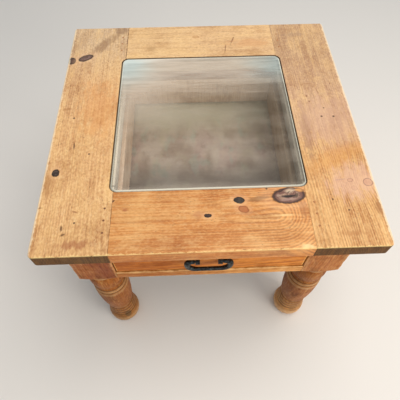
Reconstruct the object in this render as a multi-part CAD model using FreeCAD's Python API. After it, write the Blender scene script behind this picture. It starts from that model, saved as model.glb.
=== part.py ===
import FreeCAD, Part
import math
import os

from FreeCAD import Vector

os.makedirs("parts", exist_ok=True)

# Collectors display table: a plank top with a glass pane, over a display drawer, on four turned legs.
# Millimetres, +Z up, floor at zero, front towards -Y, origin on the floor under the middle of the top.

# Whole table
table_width = 610.0
table_depth = 610.0
table_height = 510.0

# Top boards: two stiles run front to back, and two rails are tenoned between them
top_thickness = 33.0
stile_width = 131.5
front_rail_width = 131.5
back_rail_width = 126.0
top_seam = 0.5
top_tenon_length = 32.0
top_tenon_thickness = 11.0
top_tenon_shoulder = 24.0
top_worn_edge = 2.5
top_plan_corner = 8.0

# Pegs through the tenons of the top
peg_count = 3
peg_radius = 2.0
peg_length = 25.0
peg_inset = 12.0
peg_spread = 48.0

# Glass pane, dropped into a rebate round the opening
glass_thickness = 6.0
glass_ledge = 8.0
glass_gap = 1.5
glass_corner = 15.0
glass_arris = 2.0

# How far the top stands out past the leg blocks
side_overhang = 37.0
front_overhang = 28.0
back_overhang = 37.0

# Square block at the head of each leg, with a turned shoulder under it
leg_block = 80.0
block_length = 148.0
block_arris = 2.0
shoulder_cut = 2.0
shoulder_rise = 7.0

# Turning under the block, from the block downwards. Each cut is a depth below the face of the block
neck_cut = 5.0
neck_height = 1.5
bead_cut = 1.2
bead_height = 11.0
quirk_cut = 5.6
quirk_height = 2.5
cushion_top_cut = 4.6
cushion_cut = 0.6
cushion_foot_cut = 2.4
cushion_height = 48.0
cove_cut = 5.0
cove_foot_cut = 2.8
cove_height = 22.0
ring_cut = 1.1
ring_height = 12.0
ring_foot_cut = 2.6

# Long body of the turning, which tapers down to the reeds
body_shoulder = 5.0
body_top_cut = 0.5
body_middle_cut = 1.4

# Reeds and bun foot, from the floor upwards
foot_rest_cut = 7.0
foot_cut = 0.6
foot_belly_height = 20.0
foot_height = 53.0
foot_top_cut = 6.0
reed_count = 3
reed_height = 15.0
reed_cut = 5.0
reed_taper = 0.8
reed_groove = 1.8

# Aprons, tenoned into the leg blocks
apron_thickness = 22.0
apron_height = 139.0
apron_setback = 4.0
apron_tenon_length = 34.0
apron_tenon_thickness = 10.0
apron_tenon_shoulder = 14.0

# Rail under the drawer front
bearer_height = 25.0
bearer_depth = 58.0
bearer_lift = 7.0
bearer_tenon_length = 30.0
bearer_tenon_thickness = 10.0
bearer_tenon_shoulder = 12.0
bearer_arris = 2.0

# Runners that carry the drawer, and guides that keep it straight
runner_ledge = 30.0
runner_height = 20.0
runner_stub_length = 12.0
runner_stub_thickness = 8.0
runner_stub_shoulder = 7.0
guide_width = 20.0
guide_height = 20.0

# Stops on the bearer rail, behind the drawer front
stop_width = 40.0
stop_depth = 16.0
stop_inset = 40.0
stop_clearance = 1.0

# Cleats and screws that hold the top to the aprons
cleat_size = 22.0
cleat_end_gap = 15.0
cleat_screw_count = 3
cleat_screw_margin = 45.0
screw_length = 38.0
screw_radius = 2.0
screw_head_radius = 4.2
screw_head_height = 3.0
screw_tip = 5.0

# Drawer
drawer_side_gap = 1.5
drawer_run_gap = 0.3
drawer_front_gap = 1.5
drawer_front_recess = 2.5
drawer_front_thickness = 20.0
drawer_front_arris = 1.5
drawer_side_thickness = 15.5
drawer_side_drop = 29.0
drawer_back_thickness = 15.0
drawer_back_housing = 5.0
drawer_back_room = 45.0
drawer_bottom_thickness = 6.0
drawer_bottom_lift = 6.0
drawer_groove_depth = 6.0

# Lapped dovetails between the drawer front and its sides
tail_count = 3
tail_length = 14.0
tail_neck = 15.0
tail_slope = 1.0 / 6.0

# Nails in the drawer
nail_length = 24.0
nail_radius = 1.0
nail_head_radius = 2.5
nail_head_height = 1.0
bottom_nail_count = 5
bottom_nail_margin = 30.0
back_nail_count = 2
back_nail_margin = 22.0

# Pull: a forged bail that swings between two posts on the drawer front
pull_offset = -4.0
pull_height = 70.0
pull_projection = 14.0
post_spacing = 42.0
post_eye_radius = 6.0
post_eye_length = 8.4
post_neck_radius = 3.6
post_shank_radius = 2.5
post_tail = 3.0
rose_radius = 9.5
rose_thickness = 2.5
rose_round = 1.5
nut_flats = 9.0
nut_thickness = 4.0
bail_width = 81.0
bail_drop = 35.0
bail_shoulder_bend = 10.0
bail_corner_bend = 20.0
bail_middle_radius = 4.2
bail_shoulder_radius = 6.0
bail_end_radius = 4.2
bail_end_gap = 0.8
pintle_radius = 2.1

# Fits
joint_ease = 0.2
screw_ease = 0.1
shank_ease = 0.2
pintle_ease = 0.05

# Directions and turns
ACROSS = Vector(1, 0, 0)
BACKWARD = Vector(0, 1, 0)
UP = Vector(0, 0, 1)
FULL_TURN = 360.0
HEX_SIDES = 6
LEFT, RIGHT = -1, 1
FRONT, BACK = -1, 1
SIDES = {"left": LEFT, "right": RIGHT}
ENDS = {"front": FRONT, "back": BACK}
SAME_PLACE = 1e-6

# Places that follow from the sizes: the top
half_width = table_width / 2
half_depth = table_depth / 2
underside = table_height - top_thickness
seam_x = half_width - stile_width
rail_y = {FRONT: (-half_depth, front_rail_width - half_depth),
          BACK: (half_depth - back_rail_width, half_depth)}
rebate_x = (-seam_x - glass_ledge, seam_x + glass_ledge)
rebate_y = (max(rail_y[FRONT]) - glass_ledge, min(rail_y[BACK]) + glass_ledge)
rebate_z = table_height - glass_thickness

# Places that follow from the sizes: the base
stock_radius = leg_block / 2
block_bottom = underside - block_length
block_outer_x = half_width - side_overhang
block_inner_x = block_outer_x - leg_block
block_front_y = front_overhang - half_depth
block_back_y = half_depth - back_overhang
leg_x = block_outer_x - stock_radius
leg_y = {FRONT: block_front_y + stock_radius, BACK: block_back_y - stock_radius}
between_legs_y = (leg_y[FRONT] + stock_radius, leg_y[BACK] - stock_radius)
apron_outer_x = block_outer_x - apron_setback
apron_inner_x = apron_outer_x - apron_thickness
apron_outer_y = block_back_y - apron_setback
apron_inner_y = apron_outer_y - apron_thickness
apron_z = (underside - apron_height, underside)
bearer_z = (block_bottom + bearer_lift, block_bottom + bearer_lift + bearer_height)
bearer_top = max(bearer_z)
bearer_y = (block_front_y, block_front_y + bearer_depth)
runner_inner_x = block_inner_x - runner_ledge
runner_z = (bearer_top - runner_height, bearer_top)

# Places that follow from the sizes: the drawer and its pull
drawer_outer_x = block_inner_x - drawer_side_gap
drawer_inner_x = drawer_outer_x - drawer_side_thickness
drawer_face_y = block_front_y + drawer_front_recess
drawer_shoulder_y = drawer_face_y + drawer_front_thickness
drawer_end_y = apron_inner_y - drawer_back_room
drawer_back_y = (drawer_end_y - drawer_back_thickness, drawer_end_y)
drawer_front_z = (bearer_top + drawer_front_gap, underside - drawer_front_gap)
drawer_side_z = (bearer_top + drawer_run_gap, underside - drawer_side_drop)
drawer_bottom_z = (min(drawer_side_z) + drawer_bottom_lift,
                   min(drawer_side_z) + drawer_bottom_lift + drawer_bottom_thickness)
drawer_back_z = (max(drawer_bottom_z), max(drawer_side_z))
pivot_y = drawer_face_y - pull_projection
pivot_z = min(drawer_front_z) + pull_height
post_x = [pull_offset + side * post_spacing / 2 for side in (LEFT, RIGHT)]


def slab(x, y, z):
    """A box between the given limits on each axis."""
    low = Vector(min(x), min(y), min(z))
    return Part.makeBox(max(x) - min(x), max(y) - min(y), max(z) - min(z), low)


def eased(span, ease):
    """A span made longer at both ends by an ease."""
    return (min(span) - ease, max(span) + ease)


def mirrored(side, near, far):
    """A span on X between two distances from the middle, on one side of the table."""
    return (side * near, side * far)


def centred(middle, length):
    """A span of a given length about its middle."""
    return (middle - length / 2, middle + length / 2)


def spread(low, high, count):
    """Evenly spaced places from low to high."""
    step = (high - low) / (count - 1)
    return [low + step * index for index in range(count)]


def fused(first, others):
    """One solid from pieces that share faces."""
    return first.multiFuse(others).removeSplitter()


def lies_on(edge, plane):
    """True if every corner of an edge has the plane's coordinate."""
    axis, value = plane
    return all(abs(getattr(corner.Point, axis) - value) < SAME_PLACE for corner in edge.Vertexes)


def meeting_edges(shape, planes):
    """The edges of a shape where two of the given planes meet."""
    return [edge for edge in shape.Edges if sum(lies_on(edge, plane) for plane in planes) > 1]


def softened(shape, radius, planes):
    """A shape with its edges rounded wherever two of the given planes meet."""
    return shape.makeFillet(radius, meeting_edges(shape, planes))


def turned(outline):
    """A solid turned about Z. Each step of its outline holds the (radius, height) of a line or an arc."""
    edges = []
    here = None
    for step in outline:
        points = [Vector(radius, 0, height) for radius, height in step]
        if len(points) > 1:
            edges.append(Part.Arc(here, *points).toShape())
        elif here:
            edges.append(Part.makeLine(here, *points))
        here = points[-1]
    face = Part.Face(Part.Wire(edges))
    return face.revolve(Vector(), UP, FULL_TURN)


def spike(start, direction, head_radius, head_height, radius, length, tip, ease):
    """A nail or screw: a tapered head, a shank and a point, grown all round by an ease for its hole."""
    shank = length - head_height - tip
    head = Part.makeCone(head_radius + ease, radius + ease, head_height, start, direction)
    stem = Part.makeCylinder(radius + ease, shank, start + direction * head_height, direction)
    point = Part.makeCone(radius + ease, ease, tip, start + direction * (head_height + shank), direction)
    return fused(head, [stem, point])


# Top

def rebate():
    """The pocket for the pane, cut into all four boards of the top."""
    pocket = slab(rebate_x, rebate_y, (rebate_z, table_height + glass_thickness))
    corners = [("x", value) for value in rebate_x] + [("y", value) for value in rebate_y]
    return softened(pocket, glass_corner, corners)


def top_tenon(side, end, ease):
    """The tenon at one end of a rail of the top, or with an ease its mortise."""
    x = mirrored(side, seam_x - top_seam, seam_x + top_tenon_length)
    y = eased(rail_y[end], -top_tenon_shoulder)
    z = centred((underside + rebate_z) / 2, top_tenon_thickness)
    return slab(eased(x, ease), eased(y, ease), eased(z, ease))


def pegs(ease):
    """All the pegs of the top, or with an ease their holes."""
    places = []
    for side in (LEFT, RIGHT):
        for end in (FRONT, BACK):
            for y in spread(*centred(sum(rail_y[end]) / 2, peg_spread), peg_count):
                places.append(Vector(side * (seam_x + peg_inset), y, table_height - peg_length - ease))
    return [Part.makeCylinder(peg_radius + ease, peg_length + ease, place, UP) for place in places]


def top_stile(side):
    board = slab(mirrored(side, seam_x, half_width), (-half_depth, half_depth), (underside, table_height))
    outside = [("x", side * half_width), ("y", -half_depth), ("y", half_depth)]
    board = softened(board, top_plan_corner, outside)
    faces = [("z", underside), ("z", table_height)]
    rims = [edge for edge in board.Edges if any(lies_on(edge, face) for face in faces)]
    worn = [edge for edge in rims if not lies_on(edge, ("x", side * seam_x))]
    board = board.makeFillet(top_worn_edge, worn)
    mortises = [top_tenon(side, end, joint_ease) for end in (FRONT, BACK)]
    return board.cut([rebate()] + mortises + pegs(screw_ease) + screws(screw_ease))


def top_rail(end):
    board = slab((top_seam - seam_x, seam_x - top_seam), rail_y[end], (underside, table_height))
    outside = [("y", end * half_depth), ("z", underside), ("z", table_height)]
    board = softened(board, top_worn_edge, outside)
    board = fused(board, [top_tenon(side, end, 0) for side in (LEFT, RIGHT)])
    return board.cut([rebate()] + pegs(screw_ease) + screws(screw_ease))


def glass_panel():
    x = eased(rebate_x, -glass_gap)
    y = eased(rebate_y, -glass_gap)
    pane = slab(x, y, (rebate_z, table_height))
    corners = [("x", value) for value in x] + [("y", value) for value in y]
    pane = softened(pane, glass_corner - glass_gap, corners)
    upper = [edge for edge in pane.Edges if lies_on(edge, ("z", table_height))]
    return pane.makeChamfer(glass_arris, upper)


# Legs

def leg_turning():
    """The turned length of a leg, about the leg's own axis."""
    outline = [[(stock_radius, 0)], [(foot_rest_cut, 0)]]
    outline.append([(foot_cut, foot_belly_height), (foot_top_cut, foot_height)])
    outline.append([(reed_cut + reed_groove, foot_height)])
    height = foot_height
    for reed in range(reed_count):
        crest_cut = reed_cut + reed * reed_taper
        crest = height + reed_height / 2
        height += reed_height
        outline.append([(crest_cut, crest), (crest_cut + reed_groove, height)])
    bead_top = block_bottom - neck_height
    bead_foot = bead_top - bead_height
    cushion_top = bead_foot - quirk_height
    cushion_foot = cushion_top - cushion_height
    cove_foot = cushion_foot - cove_height
    ring_foot = cove_foot - ring_height
    body_top = ring_foot - body_shoulder
    outline.append([(body_middle_cut, (height + body_top) / 2), (body_top_cut, body_top)])
    outline.append([(ring_foot_cut, ring_foot)])
    outline.append([(ring_cut, ring_foot + ring_height / 2), (cove_foot_cut, cove_foot)])
    outline.append([(cove_cut, cove_foot + cove_height / 2), (cushion_foot_cut, cushion_foot)])
    outline.append([(cushion_cut, cushion_foot + cushion_height / 2), (cushion_top_cut, cushion_top)])
    outline.append([(quirk_cut, cushion_top)])
    outline.append([(quirk_cut, bead_foot)])
    outline.append([(neck_cut, bead_foot)])
    outline.append([(bead_cut, bead_foot + bead_height / 2), (neck_cut, bead_top)])
    outline.append([(neck_cut, block_bottom + shoulder_rise)])
    outline.append([(stock_radius, block_bottom + shoulder_rise)])
    outline.append([(stock_radius, 0)])
    return turned([[(stock_radius - cut, height) for cut, height in step] for step in outline])


def leg_head():
    """The square block of a leg, about the leg's own axis, with its turned shoulder."""
    plan = centred(0, leg_block)
    block = slab(plan, plan, (block_bottom, underside))
    block = softened(block, block_arris, [(axis, face) for axis in ("x", "y") for face in plan])
    reach = math.hypot(*plan)
    shoulder_radius = stock_radius - shoulder_cut
    foot = [(0, block_bottom), (shoulder_radius, block_bottom), (reach, block_bottom + shoulder_rise)]
    head = [(reach, underside), (0, underside), (0, block_bottom)]
    shoulder = turned([[corner] for corner in foot + head])
    return block.common(shoulder)


def side_apron_tenon(side, end, ease):
    """The tenon of a side apron in a leg, or with an ease its mortise."""
    x = centred(side * (apron_outer_x + apron_inner_x) / 2, apron_tenon_thickness)
    face = between_legs_y[0] if end == FRONT else between_legs_y[1]
    y = (face, face + end * apron_tenon_length)
    z = eased(apron_z, -apron_tenon_shoulder)
    return slab(eased(x, ease), eased(y, ease), eased(z, ease))


def back_apron_tenon(side, ease):
    """The tenon of the back apron in a leg, or with an ease its mortise."""
    x = mirrored(side, block_inner_x, block_inner_x + apron_tenon_length)
    y = centred((apron_outer_y + apron_inner_y) / 2, apron_tenon_thickness)
    z = eased(apron_z, -apron_tenon_shoulder)
    return slab(eased(x, ease), eased(y, ease), eased(z, ease))


def bearer_tenon(side, ease):
    """The tenon of the bearer rail in a front leg, or with an ease its mortise."""
    x = mirrored(side, block_inner_x, block_inner_x + bearer_tenon_length)
    y = eased(bearer_y, -bearer_tenon_shoulder)
    z = centred(sum(bearer_z) / 2, bearer_tenon_thickness)
    return slab(eased(x, ease), eased(y, ease), eased(z, ease))


def leg(side, end):
    post = fused(leg_head(), [leg_turning()])
    post.translate(Vector(side * leg_x, leg_y[end], 0))
    mortises = [side_apron_tenon(side, end, joint_ease)]
    if end == FRONT:
        mortises.append(bearer_tenon(side, joint_ease))
    else:
        mortises.append(back_apron_tenon(side, joint_ease))
    return post.cut(mortises)


# Frame under the top

def apron_side(side):
    board = slab(mirrored(side, apron_inner_x, apron_outer_x), between_legs_y, apron_z)
    return fused(board, [side_apron_tenon(side, end, 0) for end in (FRONT, BACK)])


def apron_back():
    board = slab((-block_inner_x, block_inner_x), (apron_inner_y, apron_outer_y), apron_z)
    return fused(board, [back_apron_tenon(side, 0) for side in (LEFT, RIGHT)])


def runner_stub(side, ease):
    """The stub tenon of a runner in the bearer rail, or with an ease its mortise."""
    x = eased(mirrored(side, runner_inner_x, block_inner_x), -runner_stub_shoulder)
    y = (max(bearer_y) - runner_stub_length, max(bearer_y))
    z = centred(sum(runner_z) / 2, runner_stub_thickness)
    return slab(eased(x, ease), eased(y, ease), eased(z, ease))


def drawer_bearer():
    rail = slab((-block_inner_x, block_inner_x), bearer_y, bearer_z)
    rail = softened(rail, bearer_arris, [("y", min(bearer_y)), ("z", min(bearer_z)), ("z", bearer_top)])
    rail = fused(rail, [bearer_tenon(side, 0) for side in (LEFT, RIGHT)])
    return rail.cut([runner_stub(side, joint_ease) for side in (LEFT, RIGHT)])


def runner(side):
    ledge = slab(mirrored(side, runner_inner_x, block_inner_x), (max(bearer_y), apron_inner_y), runner_z)
    web = slab(mirrored(side, block_inner_x, apron_inner_x), between_legs_y, runner_z)
    return fused(ledge, [web, runner_stub(side, 0)])


def guide(side):
    x = mirrored(side, block_inner_x, block_inner_x + guide_width)
    return slab(x, between_legs_y, (bearer_top, bearer_top + guide_height))


def drawer_stops():
    y = (drawer_shoulder_y + drawer_run_gap, drawer_shoulder_y + drawer_run_gap + stop_depth)
    z = (bearer_top, min(drawer_bottom_z) - stop_clearance)
    outer_x = drawer_inner_x - stop_inset
    spans = [mirrored(side, outer_x - stop_width, outer_x) for side in (LEFT, RIGHT)]
    return Part.makeCompound([slab(x, y, z) for x in spans])


def cleat_spans():
    """The plan of each cleat, by the apron that it lies against."""
    along_y = eased(between_legs_y, -cleat_end_gap)
    spans = {name: (mirrored(side, apron_inner_x - cleat_size, apron_inner_x), along_y)
             for name, side in SIDES.items()}
    along_x = eased((-block_inner_x, block_inner_x), -cleat_end_gap)
    spans["back"] = (along_x, (apron_inner_y - cleat_size, apron_inner_y))
    return spans


def screws(ease):
    """The screws up through the cleats into the top, or with an ease their holes."""
    found = []
    for name, (x, y) in cleat_spans().items():
        long_span = x if name == "back" else y
        for place in spread(*eased(long_span, -cleat_screw_margin), cleat_screw_count):
            middle = (place, sum(y) / 2) if name == "back" else (sum(x) / 2, place)
            start = Vector(middle[0], middle[1], underside - cleat_size)
            found.append(spike(start, UP, screw_head_radius, screw_head_height, screw_radius,
                               screw_length + ease, screw_tip, ease))
    return found


def cleat(name):
    x, y = cleat_spans()[name]
    return slab(x, y, (underside - cleat_size, underside)).cut(screws(screw_ease))


# Drawer

def tails(side, ease):
    """The dovetails at the front of a drawer side, or with an ease their sockets in the drawer front."""
    pitch = (max(drawer_side_z) - min(drawer_side_z)) / tail_count
    x = mirrored(side, drawer_inner_x, drawer_outer_x)
    start = Vector(min(x) - ease, 0, 0)
    width = max(x) - min(x) + 2 * ease
    y = (drawer_shoulder_y, drawer_shoulder_y - tail_length - ease)
    neck = tail_neck / 2 + ease
    flare = neck + tail_length * tail_slope
    found = []
    for index in range(tail_count):
        middle = min(drawer_side_z) + pitch * (index + 1 / 2)
        corners = [(y[0], middle - neck), (y[1], middle - flare)]
        corners += [(y[1], middle + flare), (y[0], middle + neck)]
        points = [start + Vector(0, along, height) for along, height in corners]
        found.append(Part.Face(Part.makePolygon(points + points[:1])).extrude(ACROSS * width))
    return found


def bottom_panel(ease):
    """The drawer bottom, or with an ease the grooves that hold it."""
    x = (-drawer_inner_x - drawer_groove_depth, drawer_inner_x + drawer_groove_depth)
    y = (drawer_shoulder_y - drawer_groove_depth, drawer_end_y)
    return slab(eased(x, ease), eased(y, ease), eased(drawer_bottom_z, ease))


def back_panel(ease):
    """The drawer back, or with an ease the housings that hold it."""
    x = (-drawer_inner_x - drawer_back_housing, drawer_inner_x + drawer_back_housing)
    return slab(eased(x, ease), eased(drawer_back_y, ease), eased(drawer_back_z, ease))


def bottom_nails(ease):
    """The nails up through the drawer bottom into the drawer back, or with an ease their holes."""
    limits = eased((-drawer_inner_x, drawer_inner_x), -bottom_nail_margin)
    middle = sum(drawer_back_y) / 2
    starts = [Vector(x, middle, min(drawer_bottom_z)) for x in spread(*limits, bottom_nail_count)]
    return [nail(start, UP, ease) for start in starts]


def back_nails(ease):
    """The nails through the drawer sides into the drawer back, or with an ease their holes."""
    found = []
    for side in (LEFT, RIGHT):
        for z in spread(*eased(drawer_back_z, -back_nail_margin), back_nail_count):
            start = Vector(side * drawer_outer_x, sum(drawer_back_y) / 2, z)
            found.append(nail(start, ACROSS * -side, ease))
    return found


def nail(start, direction, ease):
    return spike(start, direction, nail_head_radius, nail_head_height, nail_radius, nail_length + ease,
                 nail_head_height, ease)


def drawer_front():
    board = slab((-drawer_outer_x, drawer_outer_x), (drawer_face_y, drawer_shoulder_y), drawer_front_z)
    arrises = [edge for edge in board.Edges if lies_on(edge, ("y", drawer_face_y))]
    board = board.makeFillet(drawer_front_arris, arrises)
    sockets = [socket for side in (LEFT, RIGHT) for socket in tails(side, joint_ease)]
    return board.cut(sockets + [bottom_panel(joint_ease)] + post_holes())


def drawer_side(side):
    x = mirrored(side, drawer_inner_x, drawer_outer_x)
    board = fused(slab(x, (drawer_shoulder_y, drawer_end_y), drawer_side_z), tails(side, 0))
    return board.cut([bottom_panel(joint_ease), back_panel(joint_ease)] + back_nails(screw_ease))


def drawer_back():
    return back_panel(0).cut(bottom_nails(screw_ease) + back_nails(screw_ease))


def drawer_bottom():
    return bottom_panel(0).cut(bottom_nails(screw_ease))


# Pull

def post_holes():
    """The holes for the post shanks in the drawer front."""
    starts = [Vector(x, pivot_y, pivot_z) for x in post_x]
    reach = drawer_shoulder_y - pivot_y + drawer_front_arris
    return [Part.makeCylinder(post_shank_radius + shank_ease, reach, start, BACKWARD) for start in starts]


def pull_post(x):
    """A post: an eye for the bail, a neck to the rose, and a shank through the drawer front."""
    centre = Vector(x, pivot_y, pivot_z)
    eye_start = centre - ACROSS * (post_eye_length / 2)
    eye = Part.makeCylinder(post_eye_radius, post_eye_length, eye_start, ACROSS)
    neck = Part.makeCylinder(post_neck_radius, pull_projection - rose_thickness, centre, BACKWARD)
    shank_length = pull_projection + drawer_front_thickness + nut_thickness + post_tail
    shank = Part.makeCylinder(post_shank_radius, shank_length, centre, BACKWARD)
    hole = Part.makeCylinder(pintle_radius + pintle_ease, post_eye_length, eye_start, ACROSS)
    return fused(eye, [neck, shank]).cut(hole)


def pull_rose(x):
    """A round plate between a post and the drawer front."""
    seat = Vector(x, drawer_face_y, pivot_z)
    disc = Part.makeCylinder(rose_radius, rose_thickness, seat, -BACKWARD)
    rim = [edge for edge in disc.Edges if lies_on(edge, ("y", drawer_face_y - rose_thickness))]
    disc = disc.makeFillet(rose_round, rim)
    return disc.cut(Part.makeCylinder(post_shank_radius + shank_ease, rose_thickness, seat, -BACKWARD))


def pull_nut(x):
    """A hexagon nut on a post shank, inside the drawer."""
    corner = nut_flats / 2 / math.cos(math.pi / HEX_SIDES)
    turns = [2 * math.pi * index / HEX_SIDES for index in range(HEX_SIDES + 1)]
    centre = Vector(x, drawer_shoulder_y, pivot_z)
    ring = [centre + Vector(math.cos(turn), 0, math.sin(turn)) * corner for turn in turns]
    body = Part.Face(Part.makePolygon(ring)).extrude(BACKWARD * nut_thickness)
    return body.cut(Part.makeCylinder(post_shank_radius + screw_ease, nut_thickness, centre, BACKWARD))


def pull_bail():
    """The bail: a bar that swells at its shoulders, with a pintle turned in at each end."""
    half = bail_width / 2
    bend = 1 - math.cos(math.pi / 4)
    start = post_spacing / 2 + post_eye_length / 2 + bail_end_gap
    middle = Vector(0, 0, -bail_drop)
    corner = Vector(half - bail_corner_bend, 0, -bail_drop)
    corner_via = Vector(half - bail_corner_bend * bend, 0, -bail_drop + bail_corner_bend * bend)
    rise = Vector(half, 0, bail_corner_bend - bail_drop)
    shoulder = Vector(half, 0, -bail_shoulder_bend)
    shoulder_via = Vector(half - bail_shoulder_bend * bend, 0, -bail_shoulder_bend * bend)
    turn_in = Vector(half - bail_shoulder_bend, 0, 0)
    end = Vector(start, 0, 0)
    spine = Part.Wire([Part.makeLine(middle, corner), Part.Arc(corner, corner_via, rise).toShape(),
                       Part.makeLine(rise, shoulder), Part.Arc(shoulder, shoulder_via, turn_in).toShape(),
                       Part.makeLine(turn_in, end)])
    pipe = Part.BRepOffsetAPI.MakePipeShell(spine)
    pipe.setBiNormalMode(BACKWARD)
    sections = [(middle, ACROSS, bail_middle_radius), (corner, ACROSS, bail_middle_radius),
                (rise, UP, bail_shoulder_radius), (shoulder, UP, bail_shoulder_radius),
                (end, -ACROSS, bail_end_radius)]
    for place, direction, radius in sections:
        pipe.add(Part.Wire([Part.makeCircle(radius, place, direction)]))
    pipe.build()
    pipe.makeSolid()
    pintle_length = start - post_spacing / 2 + post_eye_length / 2
    pintle = Part.makeCylinder(pintle_radius, pintle_length, end, -ACROSS)
    arm = fused(pipe.shape(), [pintle])
    bail = fused(arm, [arm.mirror(Vector(), ACROSS)])
    bail.translate(Vector(pull_offset, pivot_y, pivot_z))
    return bail


nodes = {
    "top_rail_front": top_rail(FRONT),
    "top_rail_back": top_rail(BACK),
    "top_pegs": Part.makeCompound(pegs(0)),
    "glass_panel": glass_panel(),
    "apron_back": apron_back(),
    "drawer_bearer": drawer_bearer(),
    "drawer_stops": drawer_stops(),
    "cleat_screws": Part.makeCompound(screws(0)),
    "drawer_front": drawer_front(),
    "drawer_back": drawer_back(),
    "drawer_bottom": drawer_bottom(),
    "drawer_bottom_nails": Part.makeCompound(bottom_nails(0)),
    "drawer_back_nails": Part.makeCompound(back_nails(0)),
    "pull_posts": Part.makeCompound([pull_post(x) for x in post_x]),
    "pull_roses": Part.makeCompound([pull_rose(x) for x in post_x]),
    "pull_nuts": Part.makeCompound([pull_nut(x) for x in post_x]),
    "pull_bail": pull_bail(),
}
for side_name, side in SIDES.items():
    nodes["top_stile_" + side_name] = top_stile(side)
    nodes["apron_" + side_name] = apron_side(side)
    nodes["runner_" + side_name] = runner(side)
    nodes["guide_" + side_name] = guide(side)
    nodes["drawer_side_" + side_name] = drawer_side(side)
    for end_name, end in ENDS.items():
        nodes["leg_" + end_name + "_" + side_name] = leg(side, end)
for cleat_name in cleat_spans():
    nodes["cleat_" + cleat_name] = cleat(cleat_name)

for name, shape in nodes.items():
    shape.exportStep("parts/" + name + ".step")
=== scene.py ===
import math

import bmesh
import bpy
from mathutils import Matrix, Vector, noise


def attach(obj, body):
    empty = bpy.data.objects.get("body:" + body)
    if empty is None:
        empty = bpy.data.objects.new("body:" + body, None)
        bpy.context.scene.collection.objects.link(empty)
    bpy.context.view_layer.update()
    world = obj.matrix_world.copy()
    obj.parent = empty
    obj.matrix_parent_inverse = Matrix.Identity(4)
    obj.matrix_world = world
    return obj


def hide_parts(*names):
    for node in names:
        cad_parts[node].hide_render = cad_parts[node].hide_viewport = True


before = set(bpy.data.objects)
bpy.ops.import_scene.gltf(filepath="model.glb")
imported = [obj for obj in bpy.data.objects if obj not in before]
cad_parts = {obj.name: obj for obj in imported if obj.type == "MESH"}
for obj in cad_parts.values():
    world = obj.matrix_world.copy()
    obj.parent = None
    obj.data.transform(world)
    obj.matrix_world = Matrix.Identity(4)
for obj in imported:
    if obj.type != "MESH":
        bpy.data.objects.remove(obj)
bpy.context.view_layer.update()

# Old pine side table with a glass pane in its top and a display drawer under the pane.
# Lengths are in millimetres, in the table's frame: +Z up, floor at zero, front towards -Y.
MM = 0.001

# Top
HALF_TOP = 305.0
TOP = 510.0
UNDERSIDE = 477.0
SEAM = 173.5
SEAM_GAP = 0.12
BACK_INNER = 179.0
PANE_SEAT = 504.0
PANE_CORNER = 15.0
PANE_X = 181.5
PANE_FRONT = -181.5
PANE_BACK = 187.0
GLASS_GAP = 1.5
PLAN_CORNER = 8.0
TOP_ARRIS = 2.2
UNDER_ARRIS = 1.8
BUTT_ARRIS = 0.3

# Close sections at the rounded corners of the pane's rebate: where they start and end, in from its edge
CORNER_START = 1.73
CORNER_END = 15.5

# Base
LEG_X = 228.0
LEG_FRONT_Y = -237.0
LEG_BACK_Y = 228.0
BLOCK = 80.0
BLOCK_ARRIS = 2.0
BLOCK_BOTTOM = 329.0
SHOULDER = 38.0
SHOULDER_RISE = 7.0
REED_COUNT = 3
REED_FOOT = 53.2
REED_HEIGHT = 14.9
REED_CREST = 7.4
REED_RADIUS = 35.0
REED_TAPER = 0.8
REED_GROOVE = 1.8
LEG_MIDDLE_Y = (LEG_FRONT_Y + LEG_BACK_Y) / 2
LEG_SPREAD_Y = (LEG_BACK_Y - LEG_FRONT_Y) / 2
APRON_OUTER = 264.0
APRON_INNER = 242.0
APRON_BOTTOM = 338.0
BEARER_FACE = -277.0
BEARER_REAR = -219.0
BEARER_BOTTOM = 336.0
BEARER_TOP = 361.0

# The boards between the legs run a little way into the worn blocks, so that no gap shows
INTO_BLOCK = 0.3
BETWEEN_X = LEG_X - BLOCK / 2 + INTO_BLOCK
BETWEEN_FRONT = LEG_FRONT_Y + BLOCK / 2 - INTO_BLOCK
BETWEEN_BACK = LEG_BACK_Y - BLOCK / 2 + INTO_BLOCK

# Drawer
DRAWER_GAP = 1.5
FRONT_HALF = LEG_X - BLOCK / 2 - DRAWER_GAP
FRONT_FACE = -274.5
FRONT_REAR = -254.5
FRONT_BOTTOM = BEARER_TOP + DRAWER_GAP
FRONT_TOP = UNDERSIDE - DRAWER_GAP
FLOOR_HALF = 171.0
FLOOR_BACK = 182.0

# Pull
PULL_MIDDLE = (-4.0, -288.5, 432.5)
BAIL_HALF = 40.5
BAIL_DROP = 35.0
BAIL_CORNER = 20.0
BAIL_SHOULDER = 10.0
BAIL_THIN = 4.2
BAIL_THICK = 6.0
BAIL_END = 26.0
PINTLE = 2.1
PINTLE_END = 17.0

# Meshes: the weld in metres, the angle of a sharp edge, the share of a ring that its cap keeps, and the
# number of sides round the bail
WELD = 1e-6
CREASE = math.radians(38)
CAP = 0.97
BAIL_SIDES = 20

# Distances between sections along boards of the top and along plain boards, and between points across those
TOP_STEP = 4.2
PLAIN_STEP = 6.0
PLAIN_PITCH = 7.0

# Extra sections near a board's ends, and how close two sections may lie
END_GAPS = (0.15, 0.5, 1.0, 1.7, 2.6, 4.0, 6.0, 8.0)
LEAST_GAP = 0.12

# Wear: usual depths off the pieces, what is left at least, and how far from a leg's axis its arrises wear
FACE_WORN = 0.26
EDGE_WORN = 0.22
UNDER_WORN = 0.25
BOARD_WORN = 0.12
TURNING_WORN = 0.16
BLOCK_WORN = 0.10
LEAST_WORN = 0.02
LEAST_ARRIS = 0.9
LEAST_REBATE = 1.5
ARRIS_FROM = 47.0

# Each seed's shift of the unevenness
SEED_STEP = Vector((17.3, 5.1, 9.7))


# Shapes

def ripple(place, size, seed):
    """Smooth unevenness from about -1 to 1, with humps about as wide as size."""
    return noise.noise(Vector(place) / size + SEED_STEP * seed)


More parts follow.
